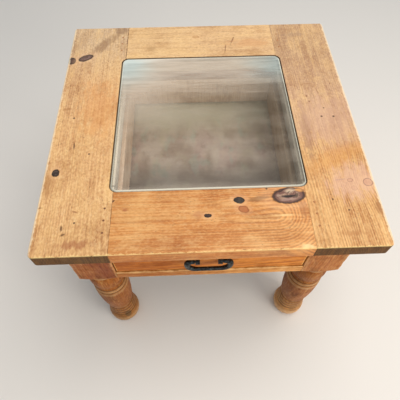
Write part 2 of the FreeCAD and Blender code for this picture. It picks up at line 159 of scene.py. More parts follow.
def rounding(from_edge, radius):
    """How far a rounded edge has fallen away at a distance in from that edge."""
    if from_edge >= radius:
        return 0.0
    return radius - math.sqrt(radius * radius - (radius - from_edge) ** 2)


def spaced(low, high, count):
    """Even places from low to high, with both ends."""
    return [low + (high - low) * step / (count - 1) for step in range(count)]


def inset(ring, share):
    """A ring drawn in towards its middle."""
    middle = sum((Vector(point) for point in ring), Vector()) / len(ring)
    return [middle + (Vector(point) - middle) * share for point in ring]


def skin(name, rings, finish, body, node):
    """A closed piece over rings of points. It stands for one node of the frame."""
    shell = bmesh.new()
    capped = [inset(rings[0], CAP)] + rings + [inset(rings[-1], CAP)]
    rows = [[shell.verts.new(Vector(point) * MM) for point in ring] for ring in capped]
    for near, far in zip(rows, rows[1:]):
        for step in range(len(near)):
            shell.faces.new((near[step - 1], near[step], far[step], far[step - 1]))
    shell.faces.new(rows[0])
    shell.faces.new(rows[-1])
    bmesh.ops.remove_doubles(shell, verts=shell.verts, dist=WELD)
    bmesh.ops.recalc_face_normals(shell, faces=shell.faces)
    for face in shell.faces:
        face.smooth = True
    for edge in shell.edges:
        edge.smooth = edge.calc_face_angle(0.0) < CREASE
    mesh = bpy.data.meshes.new(name)
    shell.to_mesh(mesh)
    shell.free()
    mesh.materials.append(finish)
    piece = bpy.data.objects.new(name, mesh)
    bpy.context.scene.collection.objects.link(piece)
    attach(piece, body)
    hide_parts(node)


def stations(half, step, spans=()):
    """Places along a board, close together at its ends and in the given spans."""
    places = set(spaced(-half, half, int(2 * half / step)))
    for gap in END_GAPS:
        places |= {gap - half, half - gap}
    for low, high, count in spans:
        places |= set(spaced(low, high, count))
    kept = []
    for place in sorted(places):
        if not kept or place - kept[-1] > LEAST_GAP:
            kept.append(place)
    kept[-1] = half
    return kept


def stile_wall(y):
    """How far out the pane's rebate reaches in a stile, at a place along it."""
    inside = min(y - PANE_FRONT, PANE_BACK - y)
    if inside <= 0:
        return SEAM
    return max(PANE_X - rounding(inside, PANE_CORNER), SEAM)


def rail_wall(reach):
    """How far out the pane's rebate reaches in a rail, by the place along it."""
    return lambda x: reach - rounding(PANE_X - abs(x), PANE_CORNER)


def top_board(node, finish, lay, inner, wall, half, corner, end_arris, spans, seed, chips=(), dents=()):
    """One board of the top, laid over cross sections along its grain, with worn and dented edges."""

    def worn(along, across):
        """Depth worn off the upper face."""
        depth = FACE_WORN + 0.14 * ripple((along * 0.4, across, 0), 26, seed)
        depth += 0.08 * ripple((along * 0.6, across, 40), 8, seed)
        for place, radius, deep in dents:
            away = (along - place[0]) ** 2 + (across - place[1]) ** 2
            depth += deep * math.exp(-away / radius ** 2)
        return max(depth, LEAST_WORN)

    def hollow(along, height):
        """Depth worn off the outer edge."""
        return EDGE_WORN + 0.18 * ripple((along, height, 7), 17, seed)

    rings = []
    for along in stations(half, TOP_STEP, spans):
        from_end = half - abs(along)
        drop = rounding(from_end, end_arris)
        outer = HALF_TOP - rounding(from_end, corner)
        arris = TOP_ARRIS + 0.7 * ripple((along, 0, 0), 21, seed)
        arris += 0.4 * ripple((along, 9, 0), 5, seed)
        for place, length, deep in chips:
            share = math.exp(-((along - place) / length) ** 2)
            arris += deep * share * (0.75 + 0.6 * ripple((along, 3, 0), 3.5, seed))
        arris = max(arris, LEAST_ARRIS)
        under = UNDERSIDE + drop
        rim = wall(along)
        seat = min(PANE_SEAT, TOP - drop - LEAST_REBATE)
        line = []
        for across in spaced(rim + BUTT_ARRIS, outer - arris, 36):
            line.append((across, TOP - drop - worn(along, across)))
        crown = line[-1][1] - arris
        for turn in spaced(0, 90, 6)[1:-1]:
            angle = math.radians(turn)
            line.append((outer - arris + arris * math.sin(angle), crown + arris * math.cos(angle)))
        for height in spaced(crown, under + UNDER_ARRIS, 7):
            line.append((outer - hollow(along, height) * min(1, (crown - height) / 3), height))
        for turn in spaced(0, 90, 4)[1:]:
            angle = math.radians(turn)
            line.append((outer - UNDER_ARRIS + (UNDER_ARRIS - UNDER_WORN) * math.cos(angle),
                         under + UNDER_ARRIS - UNDER_ARRIS * math.sin(angle)))
        for across in spaced(outer - UNDER_ARRIS, inner, 14)[1:]:
            line.append((across, under))
        for height in spaced(under, seat, 5)[1:]:
            line.append((inner, height))
        for across in spaced(inner, rim, 4)[1:]:
            line.append((across, seat))
        edge_height = line[0][1] - BUTT_ARRIS
        for height in spaced(seat, edge_height, 3)[1:]:
            line.append((rim, height))
        rings.append([lay(along, across, height) for across, height in line])
    skin("worn_" + node, rings, finish, "table", node)


def drawn_in(value, low, high, amount):
    """A value moved towards the middle of a span, and not past it."""
    out = value - (low + high) / 2
    return value - math.copysign(min(amount, abs(out)), out)


def board(node, finish, body, grain, low, high, arris, seed):
    """A plain board with rounded, uneven arrises, laid over cross sections along its grain."""
    axis = "xyz".index(grain)
    sides = [index for index in range(3) if index != axis]
    half = (high[axis] - low[axis]) / 2
    middle = (high[axis] + low[axis]) / 2
    divisions = [max(int((high[side] - low[side]) / PLAIN_PITCH), 1) for side in sides]
    rings = []
    for along in stations(half, PLAIN_STEP):
        drop = rounding(half - abs(along), arris * 0.6)
        left, right = low[sides[0]] + drop, high[sides[0]] - drop
        down, up = low[sides[1]] + drop, high[sides[1]] - drop
        corners = [(right, up, 0), (left, up, 90), (left, down, 180), (right, down, 270)]
        line = []
        for index, (across, deep, start) in enumerate(corners):
            radius = arris * (1 + 0.35 * ripple((along, index * 30, 0), 19, seed))
            centre = (drawn_in(across, left, right, radius), drawn_in(deep, down, up, radius))
            for turn in spaced(start, start + 90, 5):
                angle = math.radians(turn)
                line.append((centre[0] + radius * math.cos(angle), centre[1] + radius * math.sin(angle)))
            following = corners[(index + 1) % 4]
            gap = math.hypot(following[0] - across, following[1] - deep)
            count = divisions[index % 2]
            end = (line[-1][0] + (following[0] - across) * (1 - 2 * radius / gap),
                   line[-1][1] + (following[1] - deep) * (1 - 2 * radius / gap))
            begin = line[-1]
            for step in range(1, count):
                line.append((begin[0] + (end[0] - begin[0]) * step / count,
                             begin[1] + (end[1] - begin[1]) * step / count))
        ring = []
        for across, deep in line:
            sink = BOARD_WORN + 0.10 * ripple((along * 0.5, across, deep), 18, seed)
            place = Vector((0, 0, 0))
            place[axis] = middle + along
            place[sides[0]] = drawn_in(across, left, right, sink)
            place[sides[1]] = drawn_in(deep, down, up, sink)
            ring.append(place)
        rings.append(ring)
    skin("worn_" + node, rings, finish, body, node)


def bow(start, via, end, count):
    """Points on the round arc through three places in a plane, after the first of them."""
    (ax, ay), (bx, by), (cx, cy) = start, via, end
    spread = 2 * (ax * (by - cy) + bx * (cy - ay) + cx * (ay - by))
    squares = [ax * ax + ay * ay, bx * bx + by * by, cx * cx + cy * cy]
    ox = (squares[0] * (by - cy) + squares[1] * (cy - ay) + squares[2] * (ay - by)) / spread
    oy = (squares[0] * (cx - bx) + squares[1] * (ax - cx) + squares[2] * (bx - ax)) / spread
    radius = math.hypot(ax - ox, ay - oy)
    first, through, last = (math.atan2(y - oy, x - ox) for x, y in (start, via, end))
    sweep = (last - first) % (2 * math.pi)
    if (through - first) % (2 * math.pi) > sweep:
        sweep -= 2 * math.pi
    angles = [first + sweep * step / count for step in range(1, count + 1)]
    return [(ox + radius * math.cos(angle), oy + radius * math.sin(angle)) for angle in angles]


def turned_profile():
    """Radius and height of the turning, from the floor up to the square block."""
    line = [(33.0, 0.0)]
    line += bow(line[-1], (39.4, 20.0), (34.0, 53.0), 18)
    line.append((33.2, REED_FOOT))
    for reed in range(REED_COUNT):
        crest = REED_RADIUS - reed * REED_TAPER
        foot = REED_FOOT + reed * REED_HEIGHT
        line += bow(line[-1], (crest, foot + REED_CREST), (crest - REED_GROOVE, foot + REED_HEIGHT), 10)
    line += bow(line[-1], (38.6, 162.5), (39.5, 227.0), 30)
    line += [(39.1, 229.2), (37.4, 232.0)]
    line += bow(line[-1], (38.9, 238.0), (37.2, 244.0), 10)
    line += bow(line[-1], (35.0, 255.0), (37.6, 266.0), 10)
    line += bow(line[-1], (39.4, 290.0), (35.4, 314.0), 16)
    line += [(34.4, 314.2), (34.4, 316.3), (35.0, 316.5)]
    line += bow(line[-1], (38.8, 322.0), (35.0, 327.5), 10)
    line += [(35.0, 328.8), (SHOULDER, BLOCK_BOTTOM)]
    return line


def square_plan():
    """Points round the square block of a leg, about its axis."""
    half = BLOCK / 2
    straight = spaced(BLOCK_ARRIS - half, half - BLOCK_ARRIS, 15)
    plan = []
    for quarter in range(4):
        side = [(half, along) for along in straight]
        centre = half - BLOCK_ARRIS
        for turn in spaced(0, 90, 5)[1:-1]:
            angle = math.radians(turn)
            side.append((centre + BLOCK_ARRIS * math.cos(angle), centre + BLOCK_ARRIS * math.sin(angle)))
        cos, sin = ((1, 0), (0, 1), (-1, 0), (0, -1))[quarter]
        plan += [(x * cos - y * sin, x * sin + y * cos) for x, y in side]
    return plan


def leg(node, finish, x, y, seed):
    """A turning under a square block, a little out of round, with knocks on its rims and arrises."""
    plan = square_plan()
    angles = [math.atan2(across, along) for along, across in plan]
    rings = []
    for radius, height in turned_profile():
        ring = []
        for angle in angles:
            place = (math.cos(angle) * BLOCK / 2, math.sin(angle) * BLOCK / 2, height)
            reach = radius * (1 + 0.004 * ripple(place, 45, seed)) - TURNING_WORN
            reach -= max(0.0, ripple(place, 9, seed + 1) - 0.34) * 2.2
            ring.append((x + reach * math.cos(angle), y + reach * math.sin(angle), height))
        rings.append(ring)
    corner = math.hypot(BLOCK / 2, BLOCK / 2)
    for share in [0.0, 0.01, 0.03] + spaced(0.08, 1.0, 16):
        ring = []
        for along, across in plan:
            reach = math.hypot(along, across)
            foot = BLOCK_BOTTOM + SHOULDER_RISE * max(0.0, reach - SHOULDER) / (corner - SHOULDER)
            height = foot + (UNDERSIDE - foot) * share
            at_arris = max(0.0, (reach - ARRIS_FROM) / (corner - ARRIS_FROM))
            sink = BLOCK_WORN + 0.08 * ripple((along, across, height), 20, seed)
            sink += at_arris * max(0.0, 0.5 + ripple((along, across, height), 12, seed + 2)) * 1.3
            if share == 0.0:
                sink += 0.5
            draw = 1 - sink / reach
            ring.append((x + along * draw, y + across * draw, height))
        rings.append(ring)
    skin("turned_" + node, rings, finish, "table", node)


def bail_line():
    """Middle line and radius of one arm of the bail, from the middle of its grip to its pintle."""
    bend = 1 - math.cos(math.pi / 4)
    grip = BAIL_HALF - BAIL_CORNER
    line = [((across, -BAIL_DROP), BAIL_THIN) for across in spaced(0, grip, 9)]
    corner = bow((grip, -BAIL_DROP), (BAIL_HALF - BAIL_CORNER * bend, BAIL_CORNER * bend - BAIL_DROP),
                 (BAIL_HALF, BAIL_CORNER - BAIL_DROP), 12)
    swell = spaced(BAIL_THIN, BAIL_THICK, 13)[1:]
    line += list(zip(corner, swell))
    line += [((BAIL_HALF, height), BAIL_THICK) for height in (-13.5, -11.5)]
    shoulder = bow((BAIL_HALF, -BAIL_SHOULDER), (BAIL_HALF - BAIL_SHOULDER * bend, -BAIL_SHOULDER * bend),
                   (BAIL_HALF - BAIL_SHOULDER, 0.0), 9)
    line += list(zip(shoulder, spaced(BAIL_THICK, BAIL_THIN + 0.5, 9)))
    line += [((BAIL_END + 0.6, 0.0), BAIL_THIN), ((BAIL_END, 0.0), BAIL_THIN - 0.4)]
    return line + [((BAIL_END, 0.0), PINTLE), ((PINTLE_END, 0.0), PINTLE)]


def bail(node, finish):
    """The forged bail, from one pintle round to the other, a little uneven from the hammer."""
    arm = bail_line()
    line = [((-across, height), radius) for (across, height), radius in reversed(arm[1:])] + arm
    rings = []
    for step, ((across, height), radius) in enumerate(line):
        before = line[max(step - 1, 0)][0]
        after = line[min(step + 1, len(line) - 1)][0]
        run = Vector((after[0] - before[0], after[1] - before[1])).normalized()
        ring = []
        for side in range(BAIL_SIDES):
            angle = 2 * math.pi * side / BAIL_SIDES
            out, forward = math.cos(angle), math.sin(angle)
            beat = 1.0
            if radius > PINTLE:
                beat = 0.97 + 0.035 * ripple((across, height + out * 4, forward * 4), 6, 3)
            offset = radius * beat
            ring.append((PULL_MIDDLE[0] + across - run[1] * out * offset,
                         PULL_MIDDLE[1] + forward * offset,
                         PULL_MIDDLE[2] + height + run[0] * out * offset))
        rings.append(ring)
    skin("forged_" + node, rings, finish, "bail", node)


# Finishes

def tone(code):
    """A colour from its hex code, in linear light."""
    parts = [int(code[start:start + 2], 16) / 255 for start in (1, 3, 5)]
    linear = [part / 12.92 if part <= 0.04045 else ((part + 0.055) / 1.055) ** 2.4 for part in parts]
    return (*linear, 1.0)


# How strongly dry and waxed wood mirror light
DRY_SHEEN = 0.13
WAXED_SHEEN = 0.35

# How much of red, green and blue light a stained place, or one with painted shade, still gives back
# STAIN_AND_SHADE stains the top's wood, and it also paints shade on the bearer and the drawer front
STAIN_AND_SHADE = (0.60, 0.44, 0.30, 1.0)
EDGE_STAINED = (0.98, 0.70, 0.24, 1.0)
BLOCK_STAINED = (0.50, 0.26, 0.11, 1.0)
# These paint shade: on the turnings, the drawer floor, the drawer's right side and the right of its back
TURNING_SHADED = (0.58, 0.51, 0.39, 1.0)
FLOOR_FRONT_SHADED = (0.38, 0.40, 0.42, 1.0)
FLOOR_RIGHT_SHADED = (0.45, 0.46, 0.47, 1.0)
SIDE_SHADED = (0.38, 0.37, 0.33, 1.0)
REAR_SHADED = (0.40, 0.44, 0.44, 1.0)

# Length and width of the unevenness in the top's colour, its shift, and how much it stains and bleaches
BROAD_LAYERS = ((210.0, 110.0, 7.0, 0.34, 0.14), (170.0, 11.0, 2.0, 0.18, 0.16),
                (250.0, 3.4, 8.0, 0.20, 0.20))
FINE_LAYERS = ((22.0, 11.0, 4.0, 0.12, 0.10), (5.0, 3.0, 11.0, 0.34, 0.30))

# Early wood, late wood, stain and rubbed places of the base and the drawer
TURNED = ("#b9702c", "#844313", "#6d370f", "#e6b670")
BROWN = ("#c87b33", "#93501c", "#844618", "#e2b06c")
HONEY = ("#e08c33", "#aa5919", "#985016", "#efb363")
FADED = ("#e6a356", "#bd7836", "#a8642a", "#f4cc8e")
RAW = ("#dbc8ab", "#c0a688", "#b0967a", "#ebdfc8")
PALE = ("#f4dec4", "#dabca0", "#caac94", "#f8ead6")

# Knots of the legs: middle, half lengths, and how far the growth rings swell round them
LEG_KNOTS = [((-212.0, -267.0, 53.0), (7.5, 9.0, 13.0), 6.0), ((252.0, -262.0, 180.0), (8.0, 8.0, 11.0), 6.0),
             ((-238.0, 268.0, 120.0), (8.0, 9.0, 10.0), 6.0), ((262.0, 236.0, 400.0), (8.0, 9.0, 12.0), 6.0)]

# Height, spread and least radius of the rims of the turning that are rubbed pale and carry a painted
# highlight
RUBBED_AND_LIT_RIMS = ((239.0, 13.0, 36.2), (322.0, 6.0, 37.0), (24.0, 20.0, 37.4), (224.0, 9.0, 38.4))

# Height and spread of the grime and painted shade in its quirks
REED_GRIME_AND_SHADE = [(REED_FOOT + reed * REED_HEIGHT, spread) for reed, spread in enumerate((2.4, 3.0, 3.0, 2.6))]
QUIRK_GRIME_AND_SHADE = REED_GRIME_AND_SHADE + [(231.6, 2.0), (245.0, 2.2), (266.0, 2.6), (315.2, 2.4), (328.4, 1.6)]

# How far forward and back of the middle the growth rings of the legs are counted from
LEG_RINGS_Y = 232.0


class Wire:
    """One value in a recipe. Arithmetic on it adds Math nodes."""

    def __init__(self, recipe, socket):
        self.recipe = recipe
        self.socket = socket

    def __add__(self, other):
        return self.recipe.math("ADD", self, other)

    def __radd__(self, other):
        return self.recipe.math("ADD", other, self)

    def __sub__(self, other):
        return self.recipe.math("SUBTRACT", self, other)

    def __rsub__(self, other):
        return self.recipe.math("SUBTRACT", other, self)

    def __mul__(self, other):
        return self.recipe.math("MULTIPLY", self, other)

    def __rmul__(self, other):
        return self.recipe.math("MULTIPLY", other, self)

    def __truediv__(self, other):
        return self.recipe.math("DIVIDE", self, other)

    def __abs__(self):
        return self.recipe.math("ABSOLUTE", self)


class Recipe:
    """The nodes of a finish or of the surroundings."""

    def __init__(self, tree):
        self.tree = tree

    def feed(self, socket, value):
        """Links a value to a socket, or sets it there. A hex code stands for its colour."""
        if isinstance(value, Wire):
            self.tree.links.new(value.socket, socket)
        else:
            socket.default_value = tone(value) if isinstance(value, str) else value

    def node(self, kind, settings, inputs, output=0):
        """Adds a node with its settings and inputs, and gives one of its outputs."""
        made = self.tree.nodes.new("ShaderNode" + kind)
        for name, value in settings.items():
            setattr(made, name, value)
        for name, value in inputs.items():
            self.feed(made.inputs[name], value)
        return Wire(self, made.outputs[output])

    def math(self, operation, *values):
        return self.node("Math", {"operation": operation}, dict(enumerate(values)))

    def vector(self, operation, *values, output=0):
        return self.node("VectorMath", {"operation": operation}, dict(enumerate(values)), output)

    def mix(self, share, first, second):
        return self.node("Mix", {"data_type": "RGBA"}, {0: share, 6: first, 7: second}, 2)

    def shade(self, share, colour, factor):
        """A colour multiplied by another, in part."""
        settings = {"data_type": "RGBA", "blend_type": "MULTIPLY"}
        return self.node("Mix", settings, {0: share, 6: colour, 7: factor}, 2)

    def ease(self, value, start, end):
        """Nought before start, one after end, and smooth between them."""
        return self.node("MapRange", {"interpolation_type": "SMOOTHSTEP"}, {0: value, 1: start, 2: end})

    def layered(self, colour, layers):
        """A colour with others laid on it, each by a value from where it starts to where it is full."""
        for value, start, end, share, other in layers:
            colour = self.mix(self.ease(value, start, end) * share, colour, other)
        return colour

    def larger(self, first, second):
        return self.math("MAXIMUM", first, second)

    def smaller(self, first, second):
        return self.math("MINIMUM", first, second)


class Finish(Recipe):
    """A material with its places in millimetres in the table's frame, called f in the functions below."""

    def __init__(self, name):
        self.material = bpy.data.materials.new(name)
        self.material.use_nodes = True
        super().__init__(self.material.node_tree)
        self.shader = self.tree.nodes["Principled BSDF"]
        spot = self.node("TexCoord", {}, {}, "Object")
        self.place = self.node("VectorMath", {"operation": "SCALE"}, {0: spot, "Scale": 1 / MM})
        self.x, self.y, self.z = self.parts(self.place)
        facing = self.node("TexCoord", {}, {}, "Normal")
        self.facing = [abs(part) for part in self.parts(facing)]

    def parts(self, vector):
        return [self.node("SeparateXYZ", {}, {0: vector}, axis) for axis in "XYZ"]

    def grained(self, grain, long, short, shift=0.0):
        """Places drawn out along the grain, for patterns that follow it."""
        scale = [1 / long if axis == grain else 1 / short for axis in "xyz"]
        return self.vector("MULTIPLY_ADD", self.place, scale, (shift, shift * 0.7, shift * 1.3))

    def noise(self, grain, long, short, shift=0.0, detail=2.0, rough=0.5):
        """Unevenness from 0 to 1, drawn out along the grain."""
        place = self.grained(grain, long, short, shift)
        inputs = {"Vector": place, "Scale": 1.0, "Detail": detail, "Roughness": rough}
        return self.node("TexNoise", {}, inputs)

    def away(self, place, spot):
        """Distance from the middle of an oval spot, which is 1 on its outline."""
        x, y, long, short, turn = spot
        cos, sin = math.cos(math.radians(turn)), math.sin(math.radians(turn))
        offset = self.vector("SUBTRACT", place, (x, y, 0))
        along = self.vector("DOT_PRODUCT", offset, (cos / long, sin / long, 0), output=1)
        across = self.vector("DOT_PRODUCT", offset, (-sin / short, cos / short, 0), output=1)
        return self.math("SQRT", along * along + across * across)

    def done(self, colour, roughness, height=None, **fixed):
        """Feeds the shader. A height is in millimetres."""
        self.feed(self.shader.inputs["Base Color"], colour)
        self.feed(self.shader.inputs["Roughness"], roughness)
        if height is not None:
            bump = self.node("Bump", {}, {"Distance": MM, "Height": height})
            self.feed(self.shader.inputs["Normal"], bump)
        for name, value in fixed.items():
            self.feed(self.shader.inputs[name.replace("_", " ")], value)
        return self.material


def growth_rings(f, grain, across, deep, along, pith, ring, flow, bulge=0.0):
    """Late wood of the growth rings round a leaning pith line, from 0 to 1."""
    heart, depth, lean_across, lean_deep = pith
    drift = f.noise(grain, 300.0, 85.0, 0.0, 1.0) - 0.5
    waver = f.noise(grain, 80.0, 15.0, 4.0, 2.0) - 0.5
    side = across - heart - along * lean_across + drift * (2 * flow)
    under = deep - depth - along * lean_deep
    reach = f.math("SQRT", side * side + under * under) + bulge + waver * 3.4
    phase = reach / ring
    turn = f.math("FRACT", phase)
    late = f.ease(turn, 0.15, 0.72) * f.ease(turn, 1.0, 0.82)
    strength = f.node("TexWhiteNoise", {"noise_dimensions": "1D"}, {"W": f.math("FLOOR", phase)})
    return late * (strength * 0.6 + 0.4)


def knotted(f, colour, knots):
    """A colour with knots laid on it, and a mask of their outlines."""
    coarse = f.node("TexNoise", {}, {"Vector": f.grained("", 1, 7.0), "Scale": 1.0, "Detail": 2.0}, 1)
    waver = f.vector("SUBTRACT", coarse, (0.5, 0.5, 0.5))
    shifted = f.vector("MULTIPLY_ADD", waver, (4.0, 4.0, 0.0), f.place)
    mottle = f.noise("", 1.0, 6.0, 5.0, 2.0, 0.6)
    outlines = 0.0
    taper = f.larger(TOP - f.z - 2.5, 0.0) * 0.05
    for spot, share, outline, heart, middle in knots:
        away = f.away(shifted, spot) + taper
        halo = f.ease(away, 2.3, 1.5) * f.ease(away, 1.0, 1.3)
        colour = f.mix(halo * (share * 0.20), colour, "#efc097")
        colour = f.mix(f.ease(away, 1.10, 0.92) * share, colour, heart)
        inner = f.ease(away, 0.92, 0.45) * f.ease(mottle, 0.42, 0.58)
        colour = f.mix(inner * share, colour, middle)
        ring = f.ease(away, 0.80, 0.96) * f.ease(away, 1.16, 1.02)
        colour = f.mix(ring * (share * 0.85), colour, outline)
        outlines = f.larger(ring * share, outlines)
    return colour, outlines


def smudged(f, grain, colour, spots):
    """A colour with oval marks laid on it, feathered along the grain."""
    feather = f.noise(grain, 22.0, 7.0, 9.0, 3.0, 0.6)
    below = f.larger(TOP - f.z - 3.0, 0.0) * 0.25
    for spot, code, share in spots:
        away = f.away(f.place, spot) + (feather - 0.5) * 2.2 + below
        colour = f.mix(f.ease(away, 1.15, 0.35) * share, colour, code)
    return colour


def bulged(f, pushes):
    """How far knots push the growth rings aside."""
    push = 0.0
    for spot, bulge in pushes:
        away = f.away(f.place, spot)
        push = f.math("EXPONENT", away * away * -0.5) * bulge + push
    return push


def off_rim(f, gap=0.0):
    """Distance out past the pane's rebate, or past a line a gap inside it. Further in, it is below nought."""
    side = abs(f.x) - (PANE_X - PANE_CORNER)
    end = abs(f.y - (PANE_FRONT + PANE_BACK) / 2) - ((PANE_BACK - PANE_FRONT) / 2 - PANE_CORNER)
    past_side = f.larger(side, 0.0)
    past_end = f.larger(end, 0.0)
    beyond = f.math("SQRT", past_side * past_side + past_end * past_end)
    return beyond + f.smaller(f.larger(side, end), 0.0) - (PANE_CORNER - gap)


def along_board(f, along, stops, index):
    """One of the colours in a list of stops along a board, eased from stop to stop."""
    colour = stops[0][index]
    for near, far in zip(stops, stops[1:]):
        colour = f.mix(f.ease(along, near[0], far[0]), colour, far[index])
    return colour


def top_pine(name, grain, pith, ring, clear, flow, stops, knots=(), pushes=(), smudges=(), marks=(), dots=(),
             rise=None, speckle=1.0):
    """Worn, waxed pine of one board of the top.

    The growth rings are a ring apart, lie round the pith and waver by the flow. They stand out by the
    two shares in clear, from its first place along the board to its second. A rise, between two places
    along it, lifts the wood off the pith. The stops hold the colours of early and late wood along the
    board; where they grow greyer and darker towards the back of a stile, that is in part painted shade and
    painted sheen. Smudges lie under the knots and marks on them, and dots are small dark pits.
    """
    f = Finish(name)
    along, across = (f.y, f.x) if grain == "y" else (f.x, f.y)
    deep = f.z
    if rise:
        start, end, amount = rise
        deep = deep + f.ease(along, start, end) * amount
    late = growth_rings(f, grain, across, deep, along, pith, ring, flow, bulged(f, pushes))
    fleck = f.noise(grain, 7.0, 4.6, 3.0, 3.0, 0.65)
    fibre = f.noise(grain, 60.0, 1.4, 0.0, 3.0, 0.6)
    patch = f.noise(grain, 48.0, 30.0, 1.0, 3.0, 0.6)

    early = along_board(f, along, stops, 1)
    dark = along_board(f, along, stops, 2)
    low, high, weak, strong = clear
    contrast = f.ease(along, low, high) * (strong - weak) + weak
    colour = f.mix(f.smaller(late * contrast, 1.0), early, dark)
    for layers, share in ((BROAD_LAYERS, 1.0), (FINE_LAYERS, speckle)):
        for long, short, shift, stained, bleached in layers:
            grade = f.noise(grain, long, short, shift, 2.0, 0.55)
            colour = f.shade(f.ease(grade, 0.50, 0.65) * (stained * share), colour, STAIN_AND_SHADE)
            colour = f.mix(f.ease(grade, 0.50, 0.35) * (bleached * share), colour, "#f3cd8d")
    colour = f.shade(f.ease(patch, 0.50, 0.65) * 0.30, colour, STAIN_AND_SHADE)
    colour = f.mix(f.ease(patch, 0.49, 0.36) * 0.22, colour, "#f2c98a")
    colour = f.shade(f.ease(fleck, 0.51, 0.66) * (0.24 * speckle), colour, STAIN_AND_SHADE)
    colour = f.mix(f.ease(fleck, 0.48, 0.35) * (0.22 * speckle), colour, "#f6dcab")
    colour = f.shade(f.ease(fibre, 0.50, 0.68) * 0.30, colour, STAIN_AND_SHADE)
    speck = f.noise(grain, 5.0, 2.8, 5.0, 1.0)
    scratch = f.noise(grain, 15.0, 2.0, 21.0, 1.0)
    nicks = f.larger(f.ease(speck, 0.70, 0.78), f.ease(scratch, 0.70, 0.78))
    colour = f.mix(nicks * 0.55, colour, "#6f4526")

    colour = smudged(f, grain, colour, smudges)
    colour, outlines = knotted(f, colour, knots)
    colour = smudged(f, grain, colour, marks)
    pits = 0.0
    for x, y, radius in dots:
        away = f.away(f.place, (x, y, radius, radius, 0))
        pits = f.larger(f.ease(away, 1.2, 0.7), pits)
    colour = f.mix(pits * 0.85, colour, "#3a2416")

    out_x = abs(f.x)
    out_y = abs(f.y)
    to_seam = abs(out_x - SEAM)
    grime = f.ease(to_seam, 1.7, 0.3) * f.ease(fleck, 0.36, 0.56) * f.ease(f.x, 100.0, 40.0)
    colour = f.mix(grime * (0.40 + f.ease(f.y, -150.0, 200.0) * 0.45), colour, "#6a3c1c")
    off_pane = off_rim(f)
    at_sides = f.larger(f.ease(out_x, 150.0, 172.0), f.ease(f.y, 170.0, 182.0))
    crack = f.ease(off_pane, 1.4, 0.1) * f.ease(off_pane, -1.2, -0.2)
    colour = f.mix(crack * (at_sides * 0.60 + 0.25), colour, "#33231a")
    # The rebate's faces under the glass: painted light on the left ones, painted shade on the right ones
    inside = f.ease(off_pane, -0.4, -1.2)
    rebate = f.mix(f.ease(f.x, 90.0, 172.0), "#e6e2d4", "#8d9086")
    colour = f.mix(inside * 0.90, colour, rebate)

    upright = f.ease(f.facing[2], 0.75, 0.35) * (1 - inside)
    ends = f.ease(f.facing["xyz".index(grain)], 0.6, 0.92) * (1 - inside)
    edge_fibre = f.noise("z", 30.0, 1.6, 3.0, 2.0)
    colour = f.shade(upright * 0.55, colour, EDGE_STAINED)
    sawn = f.mix(f.ease(edge_fibre, 0.42, 0.60), "#432b14", "#65441f")
    colour = f.mix(ends * 0.92, colour, f.mix(late * 0.5, sawn, "#33200e"))

    # Painted highlights along the rounded arrises of the top's outer edges, broken a little as where rubbed
    crest = f.ease(TOP - f.z, 4.0, 1.6)
    side_highlight = f.ease(HALF_TOP - out_x + (fleck - 0.5) * 6.0, 4.8, 2.8) * crest
    colour = f.mix(side_highlight * 0.66, colour, "#f8e6c6")
    end_highlight = f.ease(HALF_TOP - out_y + (fleck - 0.5) * 8.0, 2.0, 0.5) * crest
    colour = f.mix(end_highlight * 0.70, colour, "#f3d594")

    gloss = 0.48 + (patch - 0.5) * 0.5 + (fibre - 0.5) * 0.3 + ends * 0.3
    height = late * 0.12 + (fibre - 0.5) * 0.25 + (fleck - 0.5) * 0.2 - outlines * 0.35 - pits * 0.5
    return f.done(colour, gloss, height, Specular_IOR_Level=WAXED_SHEEN)


